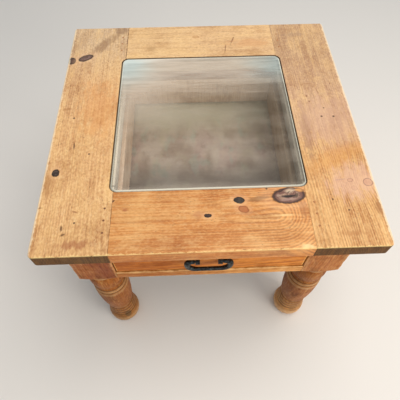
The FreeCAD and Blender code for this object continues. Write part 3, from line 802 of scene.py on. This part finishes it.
def frame_pine(name, grain, across, deep, pith, ring, tones, knots=(), worn=0.25, gloss=0.5, rubs=(),
               shaded=None, lines=0.8):
    """Browner, stained pine of the base and the drawer: its finish, colour, roughness and height.

    Pale arrises are arrises rubbed pale and partly given a painted highlight, each where two faces meet.
    Painted shade is an axis, where the painted shade starts and ends along it, its share and what it leaves
    of the light.
    """
    f = Finish(name)
    axes = {"x": f.x, "y": f.y, "z": f.z, "leg_x": abs(f.x) - LEG_X, "leg_y": abs(f.y) - LEG_RINGS_Y}
    push = 0.0
    heart = 0.0
    rim = 0.0
    for middle, radii, bulge in knots:
        offset = f.vector("DIVIDE", f.vector("SUBTRACT", f.place, middle), radii)
        away = f.vector("LENGTH", offset, output=1)
        push = f.math("EXPONENT", away * away * -0.35) * bulge + push
        heart = f.larger(f.ease(away, 1.05, 0.8), heart)
        rim = f.larger(f.ease(away, 0.7, 0.98) * f.ease(away, 1.3, 1.02), rim)
    late = growth_rings(f, grain, axes[across], axes[deep], axes[grain], pith, ring, flow=9.0, bulge=push)
    fibre = f.noise(grain, 45.0, 1.5, 0.0, 3.0, 0.6)
    dash = f.noise(grain, 20.0, 3.0, 5.0, 2.0, 0.6)
    patch = f.noise(grain, 62.0, 30.0, 2.0, 3.0, 0.6)
    fleck = f.noise(grain, 14.0, 7.0, 6.0, 3.0, 0.65)
    scuff = f.noise("", 1.0, 4.5, 8.0, 2.0, 0.6)
    hair = f.noise(grain, 220.0, 3.4, 7.0, 2.0, 0.55)
    early, dark, deepest, rubbed = tones
    colour = f.layered(f.mix(late * lines, early, dark), (
        (patch, 0.49, 0.65, 0.60, deepest), (hair, 0.50, 0.66, lines * 0.5, dark),
        (hair, 0.48, 0.34, lines * worn, rubbed), (dash, 0.52, 0.68, 0.28, dark),
        (dash, 0.48, 0.34, worn * 0.5, rubbed), (fleck, 0.52, 0.68, 0.28, deepest),
        (fleck, 0.46, 0.32, worn * 0.6, rubbed), (fibre, 0.50, 0.68, 0.35, dark),
        (scuff, 0.66, 0.76, worn, rubbed)))
    # Painted shade, from where it starts along an axis to where it is full
    if shaded:
        axis, start, end, share, factor = shaded
        colour = f.shade(f.ease(axes[axis], start, end) * share, colour, factor)
    colour = f.mix(heart * 0.85, colour, "#3b241a")
    colour = f.mix(rim * 0.7, colour, "#24150f")
    ends = f.ease(f.facing["xyz".index(grain)], 0.6, 0.92)
    colour = f.shade(ends * 0.7, colour, "#9a7a62")
    # Arrises drawn pale: rubbed pale, and partly a painted highlight
    for first, first_face, second, second_face in rubs:
        near = f.larger(abs(axes[first] - first_face), abs(axes[second] - second_face))
        colour = f.mix(f.ease(near + (fleck - 0.5) * 8.0, 3.4, 1.0) * 0.75, colour, rubbed)
    rough = gloss + (patch - 0.5) * 0.5 + (fleck - 0.5) * 0.3
    height = late * 0.12 + (fibre - 0.5) * 0.25 + (fleck - 0.5) * 0.4 - rim * 0.3
    return f, colour, rough, height


def plain_pine(*recipe, **extras):
    """A pine of the base or the drawer with nothing more laid on it."""
    f, colour, rough, height = frame_pine(*recipe, **extras)
    return f.done(colour, rough, height, Specular_IOR_Level=DRY_SHEEN)


def from_leg_axis(f):
    """Distance from the axis of the leg that a place belongs to."""
    side = abs(f.x) - LEG_X
    end = abs(f.y - LEG_MIDDLE_Y) - LEG_SPREAD_Y
    return f.math("SQRT", side * side + end * end)


def leg_pine():
    """Turned pine: pale on the rims and arrises, with a painted highlight on the rims, reddish on the blocks,
    with grime and painted shade in the quirks, painted shade on the turnings and painted light on the right
    feet.
    """
    f, colour, rough, height = frame_pine(
        "turned pine", "z", across="leg_x", deep="leg_y", pith=(-52.0, 36.0, 0.05, 0.03), ring=5.2,
        tones=TURNED, knots=LEG_KNOTS, worn=0.45, gloss=0.45, lines=0.40)
    fleck = f.noise("", 1.0, 9.0, 11.0, 3.0, 0.65)
    blotch = f.noise("", 1.0, 30.0, 13.0, 2.0, 0.6)
    block = f.ease(f.z, 331.0, 338.0)
    reddish = f.ease((blotch - 0.5) * 90.0 + (fleck - 0.5) * 30.0 - abs(f.x) + LEG_X, -24.0, 14.0)
    figure = f.noise("z", 46.0, 7.0, 17.0, 2.0, 0.55)
    right = f.ease(f.x, -60.0, 60.0)
    colour = f.shade(block * (0.40 + reddish * 0.44) * (1 - right * 0.85), colour, BLOCK_STAINED)
    colour = f.mix(block * f.ease(figure, 0.50, 0.66) * (0.30 - reddish * 0.16), colour, "#d39a60")
    # The feet paler and greyer, and the right legs' feet paler still, as painted light
    foot = f.ease(f.z + (fleck - 0.5) * 40.0, 135.0, 65.0)
    colour = f.mix(foot * (0.28 + right * 0.08), colour, "#c3a474")
    from_axis = from_leg_axis(f)
    marks = f.noise("z", 1.5, 70.0, 3.0, 2.0)
    turned_marks = f.ease(marks, 0.50, 0.62) * f.ease(f.z, 120.0, 60.0) * 0.5
    colour = f.mix(turned_marks, colour, "#7a4a26")
    # Rims rubbed pale, partly a painted highlight
    rims = 0.0
    for middle, spread, reach in RUBBED_AND_LIT_RIMS:
        near = f.ease(abs(f.z - middle), spread, spread * 0.4) * f.ease(from_axis, reach, reach + 0.9)
        rims = f.larger(near, rims)
    rims = rims * (1 - block)
    colour = f.mix(rims * (0.34 + f.ease(fleck, 0.36, 0.62) * 0.35), colour, "#dfb686")
    arris = block * f.ease(from_axis + (fleck - 0.5) * 6.0, 52.6, 55.4)
    colour = f.mix(arris * 0.60, colour, "#d9a86f")
    # Grime and painted shade in the quirks
    grooves = 0.0
    for middle, spread in QUIRK_GRIME_AND_SHADE:
        grooves = f.larger(f.ease(abs(f.z - middle), spread, spread * 0.3), grooves)
    colour = f.mix(grooves * 0.60, colour, "#46260f")
    # Painted shade on the turnings: most on the inner side of the right legs, and on the left legs below the
    # collar and on their feet
    barrel = (1 - block) * (1 - foot)
    lower = f.ease(f.z, 262.0, 226.0)
    inward = f.ease(f.x, LEG_X + 6.0, LEG_X - 26.0)
    darker = right * barrel * (0.50 + lower * 0.05 + inward * 0.45)
    darker = darker + (1 - right) * (barrel * (0.42 + lower * 0.40) + foot * 0.75)
    colour = f.shade(darker, colour, TURNING_SHADED)
    return f.done(colour, rough, height + (marks - 0.5) * 0.3, Specular_IOR_Level=DRY_SHEEN)


def pane_glass():
    """Old plate glass: clear, faintly green and smeared, with a pale ground edge and pale dust, and painted
    reflection of
    the room: bluish at the back corners, paler towards the back and left, less on the right, brightest at the
    back edge.
    """
    f = Finish("old plate glass")
    smear = f.noise("x", 90.0, 30.0, 0.0, 3.0, 0.6)
    dust = f.noise("", 1.0, 2.2, 3.0, 2.0, 0.6)
    off_edge = off_rim(f, GLASS_GAP)
    edge = f.ease(off_edge, -3.4, -1.8)
    rim_dust = f.ease(off_edge + (smear - 0.5) * 14.0, -16.0, -2.0)
    haze = 0.03 + f.ease(smear, 0.44, 0.64) * 0.04 + f.ease(dust, 0.6, 0.75) * 0.03 + rim_dust * 0.10
    streak = f.noise("x", 120.0, 9.0, 6.0, 2.0, 0.6) - 0.5
    # Painted reflection of the room: bluish at the back corners, paler at the back and the left, less on the
    # right, and a painted highlight along the back edge
    corners = f.ease(abs(f.x) + (smear - 0.5) * 90.0, 70.0, 172.0) * f.ease(f.y, 70.0, 150.0)
    left = f.ease(f.x, -30.0, -150.0)
    right = f.ease(f.x, 80.0, 170.0)
    dust_and_reflection = f.ease(f.y + streak * 70.0, 35.0, 165.0) * (0.39 + corners * 0.14 - right * 0.15 + streak * 0.6)
    dust_and_reflection = dust_and_reflection + left * f.ease(f.y + streak * 60.0, -50.0, 50.0) * 0.22
    dust_and_reflection = dust_and_reflection + f.ease(f.y, 164.0, 181.0) * f.ease(f.x, 90.0, -110.0) * 0.30
    colour = f.mix(edge, f.mix(corners, "#e3d6c6", "#cbd8d6"), "#e2e4d6")
    alpha = f.smaller(haze + dust_and_reflection + edge * 0.55, 1.0)
    rough = 0.06 + smear * 0.05 + edge * 0.3
    return f.done(colour, rough, (smear - 0.5) * 0.03, Alpha=alpha)


def pull_iron():
    """Forged iron, blackened, with brighter handled places and a little rust."""
    f = Finish("forged iron")
    scale = f.noise("", 1.0, 3.2, 0.0, 3.0, 0.6)
    patch = f.noise("", 1.0, 11.0, 4.0, 3.0, 0.6)
    pit = f.noise("", 1.0, 1.1, 2.0, 2.0, 0.6)
    colour = f.mix(f.ease(scale, 0.42, 0.60), "#211f1d", "#3b4244")
    rust = f.ease(patch, 0.55, 0.75)
    colour = f.mix(rust * 0.55, colour, "#5a3a26")
    colour = f.mix(f.ease(patch, 0.46, 0.34) * 0.5, colour, "#687679")
    rough = 0.40 + (scale - 0.5) * 0.3 + rust * 0.2
    metal = 0.85 - rust * 0.5
    return f.done(colour, rough, (scale - 0.5) * 0.25 + (pit - 0.5) * 0.15, Metallic=metal)


def fixing_steel():
    """Steel of the screws, nails and nuts, dull and spotted brown."""
    f = Finish("dull steel")
    patch = f.noise("", 1.0, 2.5, 0.0, 3.0, 0.6)
    spotted = f.ease(patch, 0.45, 0.65)
    colour = f.mix(spotted, "#6d6862", "#54412f")
    metal = 0.9 - spotted * 0.5
    return f.done(colour, 0.45 + (patch - 0.5) * 0.3, (patch - 0.5) * 0.1, Metallic=metal)


def peg_wood():
    """End grain of pegs, a little darker than the boards round them."""
    f = Finish("peg ends")
    pores = f.node("TexVoronoi", {}, {"Vector": f.grained("z", 8.0, 0.55), "Scale": 1.0}, 0)
    patch = f.noise("z", 20.0, 1.5, 0.0, 2.0)
    colour = f.mix(f.ease(patch, 0.35, 0.7), "#b87c46", "#8f5a2f")
    darkened = f.ease(f.x, -150.0, -180.0) * f.ease(f.y, 0.0, -100.0)
    colour = f.mix(darkened * 0.7, colour, "#5a3419")
    colour = f.mix(f.ease(pores, 0.35, 0.1) * 0.5, colour, "#4a2c16")
    return f.done(colour, 0.5 + (patch - 0.5) * 0.2, f.ease(pores, 0.1, 0.4) * 0.1)


def drawer_board():
    """Drawer bottom: a thin grey-brown board, mottled by age and handling, with painted light at the back
    left, painted shade at the front and the right, and grime and painted shade along its back and sides.
    """
    f = Finish("mottled board")
    large = f.noise("y", 130.0, 75.0, 0.0, 2.0, 0.5)
    other = f.noise("y", 100.0, 55.0, 6.0, 3.0, 0.5)
    third = f.noise("y", 75.0, 38.0, 14.0, 3.0, 0.55)
    small = f.noise("y", 22.0, 14.0, 3.0, 3.0, 0.55)
    fibre = f.noise("x", 45.0, 1.5, 0.0, 3.0, 0.6)
    colour = f.mix(f.ease(large, 0.40, 0.60), "#b0a294", "#968576")
    colour = f.layered(colour, (
        (other, 0.51, 0.64, 0.50, "#a59e82"), (other, 0.47, 0.36, 0.50, "#a38880"),
        (third, 0.56, 0.66, 0.45, "#93a091"), (small, 0.52, 0.66, 0.20, "#c4b49b"),
        (small, 0.46, 0.34, 0.25, "#755f4d"), (fibre, 0.50, 0.68, 0.14, "#6f5b49"),
        # Painted light: paler towards the back, most at the left
        (f.y, 30.0, 170.0, 0.50, "#c4bc98"),
        (f.y, 70.0, 170.0, 0.40 + f.ease(f.x, 60.0, -110.0) * 0.50, "#e8e8d6")))
    # Painted shade at the front and towards the right
    colour = f.shade(f.ease(f.y, 10.0, -75.0) * 0.95, colour, FLOOR_FRONT_SHADED)
    colour = f.shade(f.ease(f.x, 10.0, 160.0) * 0.58, colour, FLOOR_RIGHT_SHADED)
    # Grime and painted shade along the back and the sides
    to_side = FLOOR_HALF - abs(f.x)
    to_back = FLOOR_BACK - f.y
    darkened = f.larger(f.ease(to_side + (small - 0.5) * 16.0, 12.0, 1.0) * 0.25,
                     f.ease(to_back + (small - 0.5) * 16.0, 12.0, 1.0) * 0.35)
    colour = f.mix(darkened, colour, "#51483e")
    return f.done(colour, 0.6 + (large - 0.5) * 0.2, (fibre - 0.5) * 0.2 + (small - 0.5) * 0.2)


def pale_floor():
    """Plain matt studio floor."""
    f = Finish("pale studio floor")
    cloud = f.noise("", 1.0, 900.0, 0.0, 2.0)
    colour = f.mix(cloud * 0.5, "#e9e8e6", "#e2e1df")
    return f.done(colour, 0.85)


# The table

def laying(grain, side):
    """A function that puts a place along, across and above a board of the top into the table's frame."""
    if grain == "y":
        return lambda along, across, height: (side * across, along, height)
    return lambda along, across, height: (along, side * across, height)


# Spots on the boards are ovals: middle, half length and half width, and turn in degrees. Each knot adds its
# share and the colours of its outline, heart and middle, each push how far the rings swell round it, and
# each smudge or mark its colour and share.
left_pine = top_pine(
    "left stile pine", "y", pith=(-150, 440, 0.02, 0.05), ring=3.9,
    clear=(-305, 0, 0.5, 0.36), flow=9,
    # Colours along the stile, greyer and darker towards the back, in part as painted shade and painted sheen
    stops=[
        (-260, "#eabd88", "#b27f4c"), (-60, "#e8ba87", "#b37d4c"), (90, "#e5ba8c", "#b07e52"),
        (260, "#d8bc9c", "#a88667")],
    knots=[
        ((-297, 183.5, 11, 8.5, 90), 0.95, "#1f120e", "#33201a", "#55392f"),
        ((-266, 192.8, 16.5, 9, 30), 0.92, "#26150f", "#49302a", "#7b6058"),
        ((-284, -134.6, 6.6, 8.4, 0), 1, "#150d09", "#2c1f19", "#56463d")],
    pushes=[
        ((-297, 183.5, 20, 40, 0), 9), ((-266, 192.8, 24, 40, 0), 10), ((-284, -134.6, 14, 32, 0), 8)],
    smudges=[
        ((-224, 245, 58, 15, 52), "#8a6546", 0.55), ((-190, 292, 22, 14, 0), "#8d6c50", 0.55),
        ((-293, -160, 12, 30, 0), "#a56f3f", 0.6), ((-229, -284, 33, 10, 3), "#a0603b", 0.65),
        ((-236.6, -220.5, 9, 2, -20), "#9a6238", 0.7), ((-256, -252, 3, 6, 0), "#5f3f22", 0.8),
        ((-252, -265, 5, 2.5, 30), "#5f3f22", 0.8), ((-299, -210, 7, 1.2, 0), "#7a4c28", 0.8),
        ((-258.3, -70.5, 1.1, 8, 5), "#3a2415", 1), ((-285, 30, 14, 5, 10), "#a8723f", 0.6),
        ((-218, 30, 52, 96, 0), "#dc944f", 0.4)],
    dots=[(-235.4, -242.4, 1.9), (-268.3, 4.2, 2.2), (-226.8, -91.6, 1.8)])
right_pine = top_pine(
    "right stile pine", "y", pith=(110, 440, -0.06, 0.02), ring=3.9,
    clear=(-20, -130, 0.4, 0.85), flow=10,
    # Colours along the stile, greyer and darker towards the back, in part as painted shade and painted sheen
    stops=[
        (-260, "#e0ac70", "#a06835"), (-120, "#dca973", "#a06838"), (-20, "#d1ab8c", "#9e765a"),
        (240, "#c29d7d", "#917052")],
    knots=[
        ((292, -176.6, 8.5, 8.5, 0), 0.6, "#7a5450", "#cfa084", "#c9987e"),
        ((260.2, -170.9, 5, 4, 20), 0.6, "#85594f", "#c9977a", "#d2a588"),
        ((264, -189, 5, 5, 0), 0.3, "#8a5e54", "#d0a084", "#d6a88c")],
    pushes=[((292, -176.6, 16, 34, 0), 9), ((260.2, -170.9, 12, 26, 0), 6)],
    smudges=[
        ((228, 88.7, 16, 3, 8), "#9c6c43", 0.6), ((246, 65, 1.4, 9, 10), "#8d5d3c", 0.7),
        ((202, -58, 11, 92, -3), "#946c55", 0.55), ((297, -232, 8, 24, 0), "#9a6436", 0.7),
        ((241, -279, 28, 7, 0), "#b27a45", 0.6), ((232, 262, 30, 10, 0), "#a98a70", 0.5),
        ((258, -22, 74, 84, 0), "#d0a88f", 0.5), ((252, -116, 92, 24, 24), "#d6974e", 0.42),
        ((246, -168.5, 14, 1.5, 6), "#95685a", 0.7), ((268, -174, 62, 42, 24), "#dcb39e", 0.55),
        ((220, 50, 2.6, 4, 0), "#8a5a3a", 0.8), ((223.6, 34.3, 2.4, 3, 0), "#8a5a3a", 0.8)],
    dots=[
        (240.7, -9.2, 2.3), (265.2, -10.1, 2.3), (249.8, 14.2, 1.6), (219.5, -210.8, 1.8),
        (243.3, -233.9, 1.7)],
    speckle=0.7)
front_pine = top_pine(
    "front rail pine", "x", pith=(-240, 498, 0, 0), ring=4.8,
    clear=(0, 130, 0.34, 0.85), flow=8,
    stops=[(-160, "#d99654", "#a06029"), (0, "#ce8745", "#955320"), (160, "#e4a05c", "#a5602b")],
    knots=[
        ((52, -206.6, 9, 6.5, 0), 1, "#140b07", "#221812", "#3b3128"),
        ((-4.7, -236.3, 6, 4, 0), 1, "#120906", "#2a150b", "#3d1f10"),
        ((58.2, -225.5, 9, 6.5, -20), 0.8, "#8f5230", "#a86238", "#b8713f"),
        ((142.4, -200, 28.5, 16, 6), 0.95, "#220f0d", "#6a4842", "#ac8c76")],
    pushes=[
        ((52, -206.6, 30, 13, 0), -8), ((-4.7, -236.3, 24, 12, 0), 9), ((58.2, -225.5, 26, 12, 0), 6),
        ((142.4, -198, 40, 17, 0), -9)],
    smudges=[
        ((-150.4, -219.7, 7, 4.5, 0), "#a5623c", 0.75), ((90, -204, 26, 5.5, 14), "#85592f", 0.7),
        ((-22, -233, 14, 10, 0), "#b87a50", 0.55), ((-172.7, -201.5, 4, 2, 40), "#4a2b17", 0.9),
        ((164, -232, 7, 26, 0), "#a96f43", 0.6), ((159, -303, 12, 6, 0), "#efcf95", 0.9),
        ((124, -240.5, 30, 2.6, 0), "#f6d295", 0.65)],
    marks=[
        ((139, -202, 14, 3.6, 4), "#140b09", 0.95), ((146, -190.5, 11, 6.5, 12), "#cdb69c", 0.9),
        ((124, -199, 5, 4, 0), "#b09482", 0.75), ((162, -189.5, 8, 4, -10), "#dca061", 0.9),
        ((140, -208, 16, 2.8, 4), "#a5867c", 0.8), ((143, -193, 6, 1.6, 40), "#1c110d", 0.9),
        ((130, -190, 7, 1.5, 30), "#1e120e", 0.85), ((156, -200, 3, 6, -20), "#2a1813", 0.7)],
    dots=[(104, -184, 2)],
    rise=(112, 190, 46),
    speckle=0.5)
back_pine = top_pine(
    "back rail pine", "x", pith=(110, 430, 0.02, 0.06), ring=4.3,
    clear=(-100, 100, 0.35, 0.45), flow=10,
    stops=[(-100, "#e9c596", "#b98d5e"), (100, "#e4bf94", "#b3885d")],
    knots=[((-9.5, 261, 8, 5, 0), 0.45, "#a8703f", "#b98350", "#c4935f")],
    pushes=[((-9.5, 261, 30, 12, 0), 8)],
    smudges=[
        ((76, 243, 2.2, 16, -20), "#7c4a28", 0.8), ((58, 214, 1.8, 14, -8), "#7c4a28", 0.8),
        ((-117, 219, 12, 12, 0), "#b08a5e", 0.5), ((120, 235, 55, 20, 0), "#cf9664", 0.5)],
    speckle=0.8)

# Spans of close sections, at the rounded corners of the pane's rebate and at a chip in the front rail
stile_spans = [(PANE_FRONT + CORNER_START, PANE_FRONT + CORNER_END, 12),
               (PANE_BACK - CORNER_END, PANE_BACK - CORNER_START, 12)]
bend_start = PANE_X - CORNER_END
bend_end = SEAM - 0.5
rail_spans = [(-bend_end, -bend_start, 7), (bend_start, bend_end, 7)]
chipped_span = (138.0, bend_end, 30)
rail_half = SEAM - SEAM_GAP

# Chips are a place along the outer arris, a half length and a depth. Dents are a place along and across, a
# radius and a depth.
top_board("top_stile_left", left_pine, laying("y", -1), SEAM, stile_wall, HALF_TOP, PLAN_CORNER, TOP_ARRIS,
          stile_spans, seed=1, chips=[(-296.0, 6.0, 1.6), (236.0, 20.0, 0.8)],
          dents=[((-220.0, 236.0), 7.0, 0.5), ((-70.5, 258.0), 5.0, 0.5), ((-252.0, 256.0), 5.0, 0.5),
                 ((4.0, 268.0), 3.5, 0.4)])
top_board("top_stile_right", right_pine, laying("y", 1), SEAM, stile_wall, HALF_TOP, PLAN_CORNER, TOP_ARRIS,
          stile_spans, seed=2, chips=[(-299.0, 5.0, 1.8), (120.0, 14.0, 0.7)],
          dents=[((-9.0, 241.0), 4.0, 0.5), ((-10.0, 265.0), 4.0, 0.5), ((70.0, 246.0), 7.0, 0.4)])
top_board("top_rail_front", front_pine, laying("x", -1), SEAM, rail_wall(-PANE_FRONT), rail_half, 0.0,
          BUTT_ARRIS, rail_spans + [chipped_span], seed=3,
          chips=[(159.0, 8.0, 3.2), (38.0, 4.0, 0.8), (-60.0, 12.0, 0.6)],
          dents=[((159.0, 300.0), 7.0, 0.9), ((-150.0, 220.0), 6.0, 0.35), ((80.0, 212.0), 9.0, 0.4)])
top_board("top_rail_back", back_pine, laying("x", 1), BACK_INNER, rail_wall(PANE_BACK), rail_half, 0.0,
          BUTT_ARRIS, rail_spans, seed=4, dents=[((66.0, 228.0), 6.0, 0.4), ((-10.0, 261.0), 8.0, 0.3)])

turned = leg_pine()
for end, leg_y in (("front", LEG_FRONT_Y), ("back", LEG_BACK_Y)):
    for side, leg_x in (("left", -LEG_X), ("right", LEG_X)):
        leg("leg_%s_%s" % (end, side), turned, leg_x, leg_y, seed=leg_x * 0.01 + leg_y * 0.02)

side_pine = plain_pine(
    "side apron pine", "y", across="z", deep="x", pith=(430.0, 60.0, 0.03, 0.02), ring=5.4, tones=BROWN,
    rubs=[("x", -APRON_OUTER, "z", APRON_BOTTOM), ("x", APRON_OUTER, "z", APRON_BOTTOM)])
end_pine = plain_pine(
    "back apron pine", "x", across="z", deep="y", pith=(360.0, 190.0, 0.04, 0.02), ring=5.0, tones=BROWN,
    rubs=[("y", APRON_OUTER, "z", APRON_BOTTOM)])
# The bearer has painted shade towards its left
bearer_pine = plain_pine(
    "bearer pine", "x", across="z", deep="y", pith=(300.0, -180.0, 0.02, 0.02), ring=4.4, tones=FADED,
    worn=0.5, rubs=[("y", BEARER_FACE, "z", BEARER_BOTTOM), ("y", BEARER_FACE, "z", BEARER_TOP)],
    shaded=("x", 130.0, -120.0, 1.0, STAIN_AND_SHADE))
# The drawer front has painted shade towards its left
face_pine = plain_pine(
    "drawer front pine", "x", across="z", deep="y", pith=(405.0, -205.0, 0.03, 0.05), ring=5.2, tones=HONEY,
    rubs=[("y", FRONT_FACE, "z", FRONT_BOTTOM), ("y", FRONT_FACE, "x", -FRONT_HALF),
          ("y", FRONT_FACE, "x", FRONT_HALF)],
    shaded=("x", 120.0, -150.0, 0.70, STAIN_AND_SHADE))
inner_pine = plain_pine(
    "unstained pine", "y", across="x", deep="z", pith=(60.0, 250.0, 0.02, 0.02), ring=4.6, tones=RAW,
    worn=0.2, gloss=0.6)
# The drawer's sides carry painted shade on the right one
box_pine = plain_pine(
    "drawer side pine", "y", across="z", deep="x", pith=(380.0, 60.0, 0.02, 0.03), ring=4.4, tones=PALE,
    gloss=0.55, shaded=("x", 100.0, 165.0, 0.86, SIDE_SHADED), lines=0.4)
# The drawer's back has painted shade towards its right end
rear_pine = plain_pine(
    "drawer back pine", "z", across="x", deep="y", pith=(-60.0, 120.0, 0.03, 0.02), ring=4.8, tones=PALE,
    worn=0.35, gloss=0.55, shaded=("x", 90.0, 172.0, 0.55, REAR_SHADED), lines=0.45)

board("apron_left", side_pine, "table", "y", (-APRON_OUTER, BETWEEN_FRONT, APRON_BOTTOM),
      (-APRON_INNER, BETWEEN_BACK, UNDERSIDE), arris=1.5, seed=11)
board("apron_right", side_pine, "table", "y", (APRON_INNER, BETWEEN_FRONT, APRON_BOTTOM),
      (APRON_OUTER, BETWEEN_BACK, UNDERSIDE), arris=1.5, seed=12)
board("apron_back", end_pine, "table", "x", (-BETWEEN_X, APRON_INNER, APRON_BOTTOM),
      (BETWEEN_X, APRON_OUTER, UNDERSIDE), arris=1.5, seed=13)
board("drawer_bearer", bearer_pine, "table", "x", (-BETWEEN_X, BEARER_FACE, BEARER_BOTTOM),
      (BETWEEN_X, BEARER_REAR, BEARER_TOP), arris=2.2, seed=14)
board("drawer_front", face_pine, "drawer", "x",
      (-FRONT_HALF, FRONT_FACE, FRONT_BOTTOM), (FRONT_HALF, FRONT_REAR, FRONT_TOP), arris=1.9, seed=15)

iron = pull_iron()
bail("pull_bail", iron)

steel = fixing_steel()
finishes = {
    "top_pegs": peg_wood(), "glass_panel": pane_glass(), "drawer_bottom": drawer_board(),
    "drawer_side_left": box_pine, "drawer_side_right": box_pine, "drawer_back": rear_pine,
    "pull_posts": iron, "pull_roses": iron,
    "pull_nuts": steel, "cleat_screws": steel, "drawer_bottom_nails": steel, "drawer_back_nails": steel,
}
for name in ("runner_left", "runner_right", "guide_left", "guide_right", "drawer_stops",
             "cleat_left", "cleat_right", "cleat_back"):
    finishes[name] = inner_pine
for name, finish in finishes.items():
    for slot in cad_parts[name].material_slots:
        slot.material = finish


# Studio, in metres

FLOOR_REACH = 6.0

# Strength of the room as it lights the table, and as the camera, metal and glass see it
ROOM_LIGHT = 0.45
ROOM_SEEN = 0.92

# The camera that was fitted to the photograph, with its lens and sensor in millimetres
CAMERA_PLACE = (-0.03160, -0.57130, 1.09638)
CAMERA_TURN = (0.559961, -0.000466, -0.037851)
FOCAL_LENGTH = 34.969
SENSOR_WIDTH = 36.0


def studio_floor():
    """A wide floor under the table."""
    plan = bmesh.new()
    bmesh.ops.create_grid(plan, x_segments=8, y_segments=8, size=FLOOR_REACH)
    mesh = bpy.data.meshes.new("studio_floor")
    plan.to_mesh(mesh)
    plan.free()
    mesh.materials.append(pale_floor())
    ground = bpy.data.objects.new("studio_floor", mesh)
    bpy.context.scene.collection.objects.link(ground)


def soft_light(name, place, aim, size, energy, code, mirrored):
    """A wide, soft lamp, which metal and glass mirror or don't."""
    lamp = bpy.data.lights.new(name, "AREA")
    lamp.shape = "RECTANGLE"
    lamp.size, lamp.size_y = size
    lamp.energy = energy
    lamp.color = tone(code)[:3]
    holder = bpy.data.objects.new(name, lamp)
    holder.location = place
    holder.visible_camera = False
    holder.visible_glossy = mirrored
    holder.rotation_euler = (Vector(aim) - Vector(place)).to_track_quat("-Z", "Y").to_euler()
    bpy.context.scene.collection.objects.link(holder)


def surroundings():
    """An even pale room, which the camera, metal and glass see as it is and which lights the table less."""
    world = bpy.data.worlds.new("studio")
    bpy.context.scene.world = world
    world.use_nodes = True
    room = Recipe(world.node_tree)
    seen = room.node("LightPath", {}, {}, "Is Camera Ray")
    mirrored = room.node("LightPath", {}, {}, "Is Glossy Ray")
    through = room.node("LightPath", {}, {}, "Is Transmission Ray")
    shown = room.smaller(seen + mirrored + through, 1.0)
    backdrop = world.node_tree.nodes["Background"]
    room.feed(backdrop.inputs["Color"], "#f6f6f5")
    room.feed(backdrop.inputs["Strength"], ROOM_LIGHT + shown * (ROOM_SEEN - ROOM_LIGHT))


studio_floor()
surroundings()
soft_light("overhead light", place=(0.55, -0.15, 2.5), aim=(0.0, 0.0, 0.45), size=(1.7, 1.7), energy=37.5,
           code="#fff8ee", mirrored=True)
soft_light("front fill", place=(1.9, -2.0, 0.95), aim=(0.0, 0.0, 0.25), size=(1.5, 0.9), energy=37.0,
           code="#fff4e6", mirrored=False)

lens = bpy.data.cameras.new("photograph view")
lens.sensor_width = SENSOR_WIDTH
lens.lens = FOCAL_LENGTH
camera = bpy.data.objects.new("photograph view", lens)
camera.location = CAMERA_PLACE
camera.rotation_euler = CAMERA_TURN
bpy.context.scene.collection.objects.link(camera)
bpy.context.scene.camera = camera
bpy.context.scene.view_settings.view_transform = "Standard"
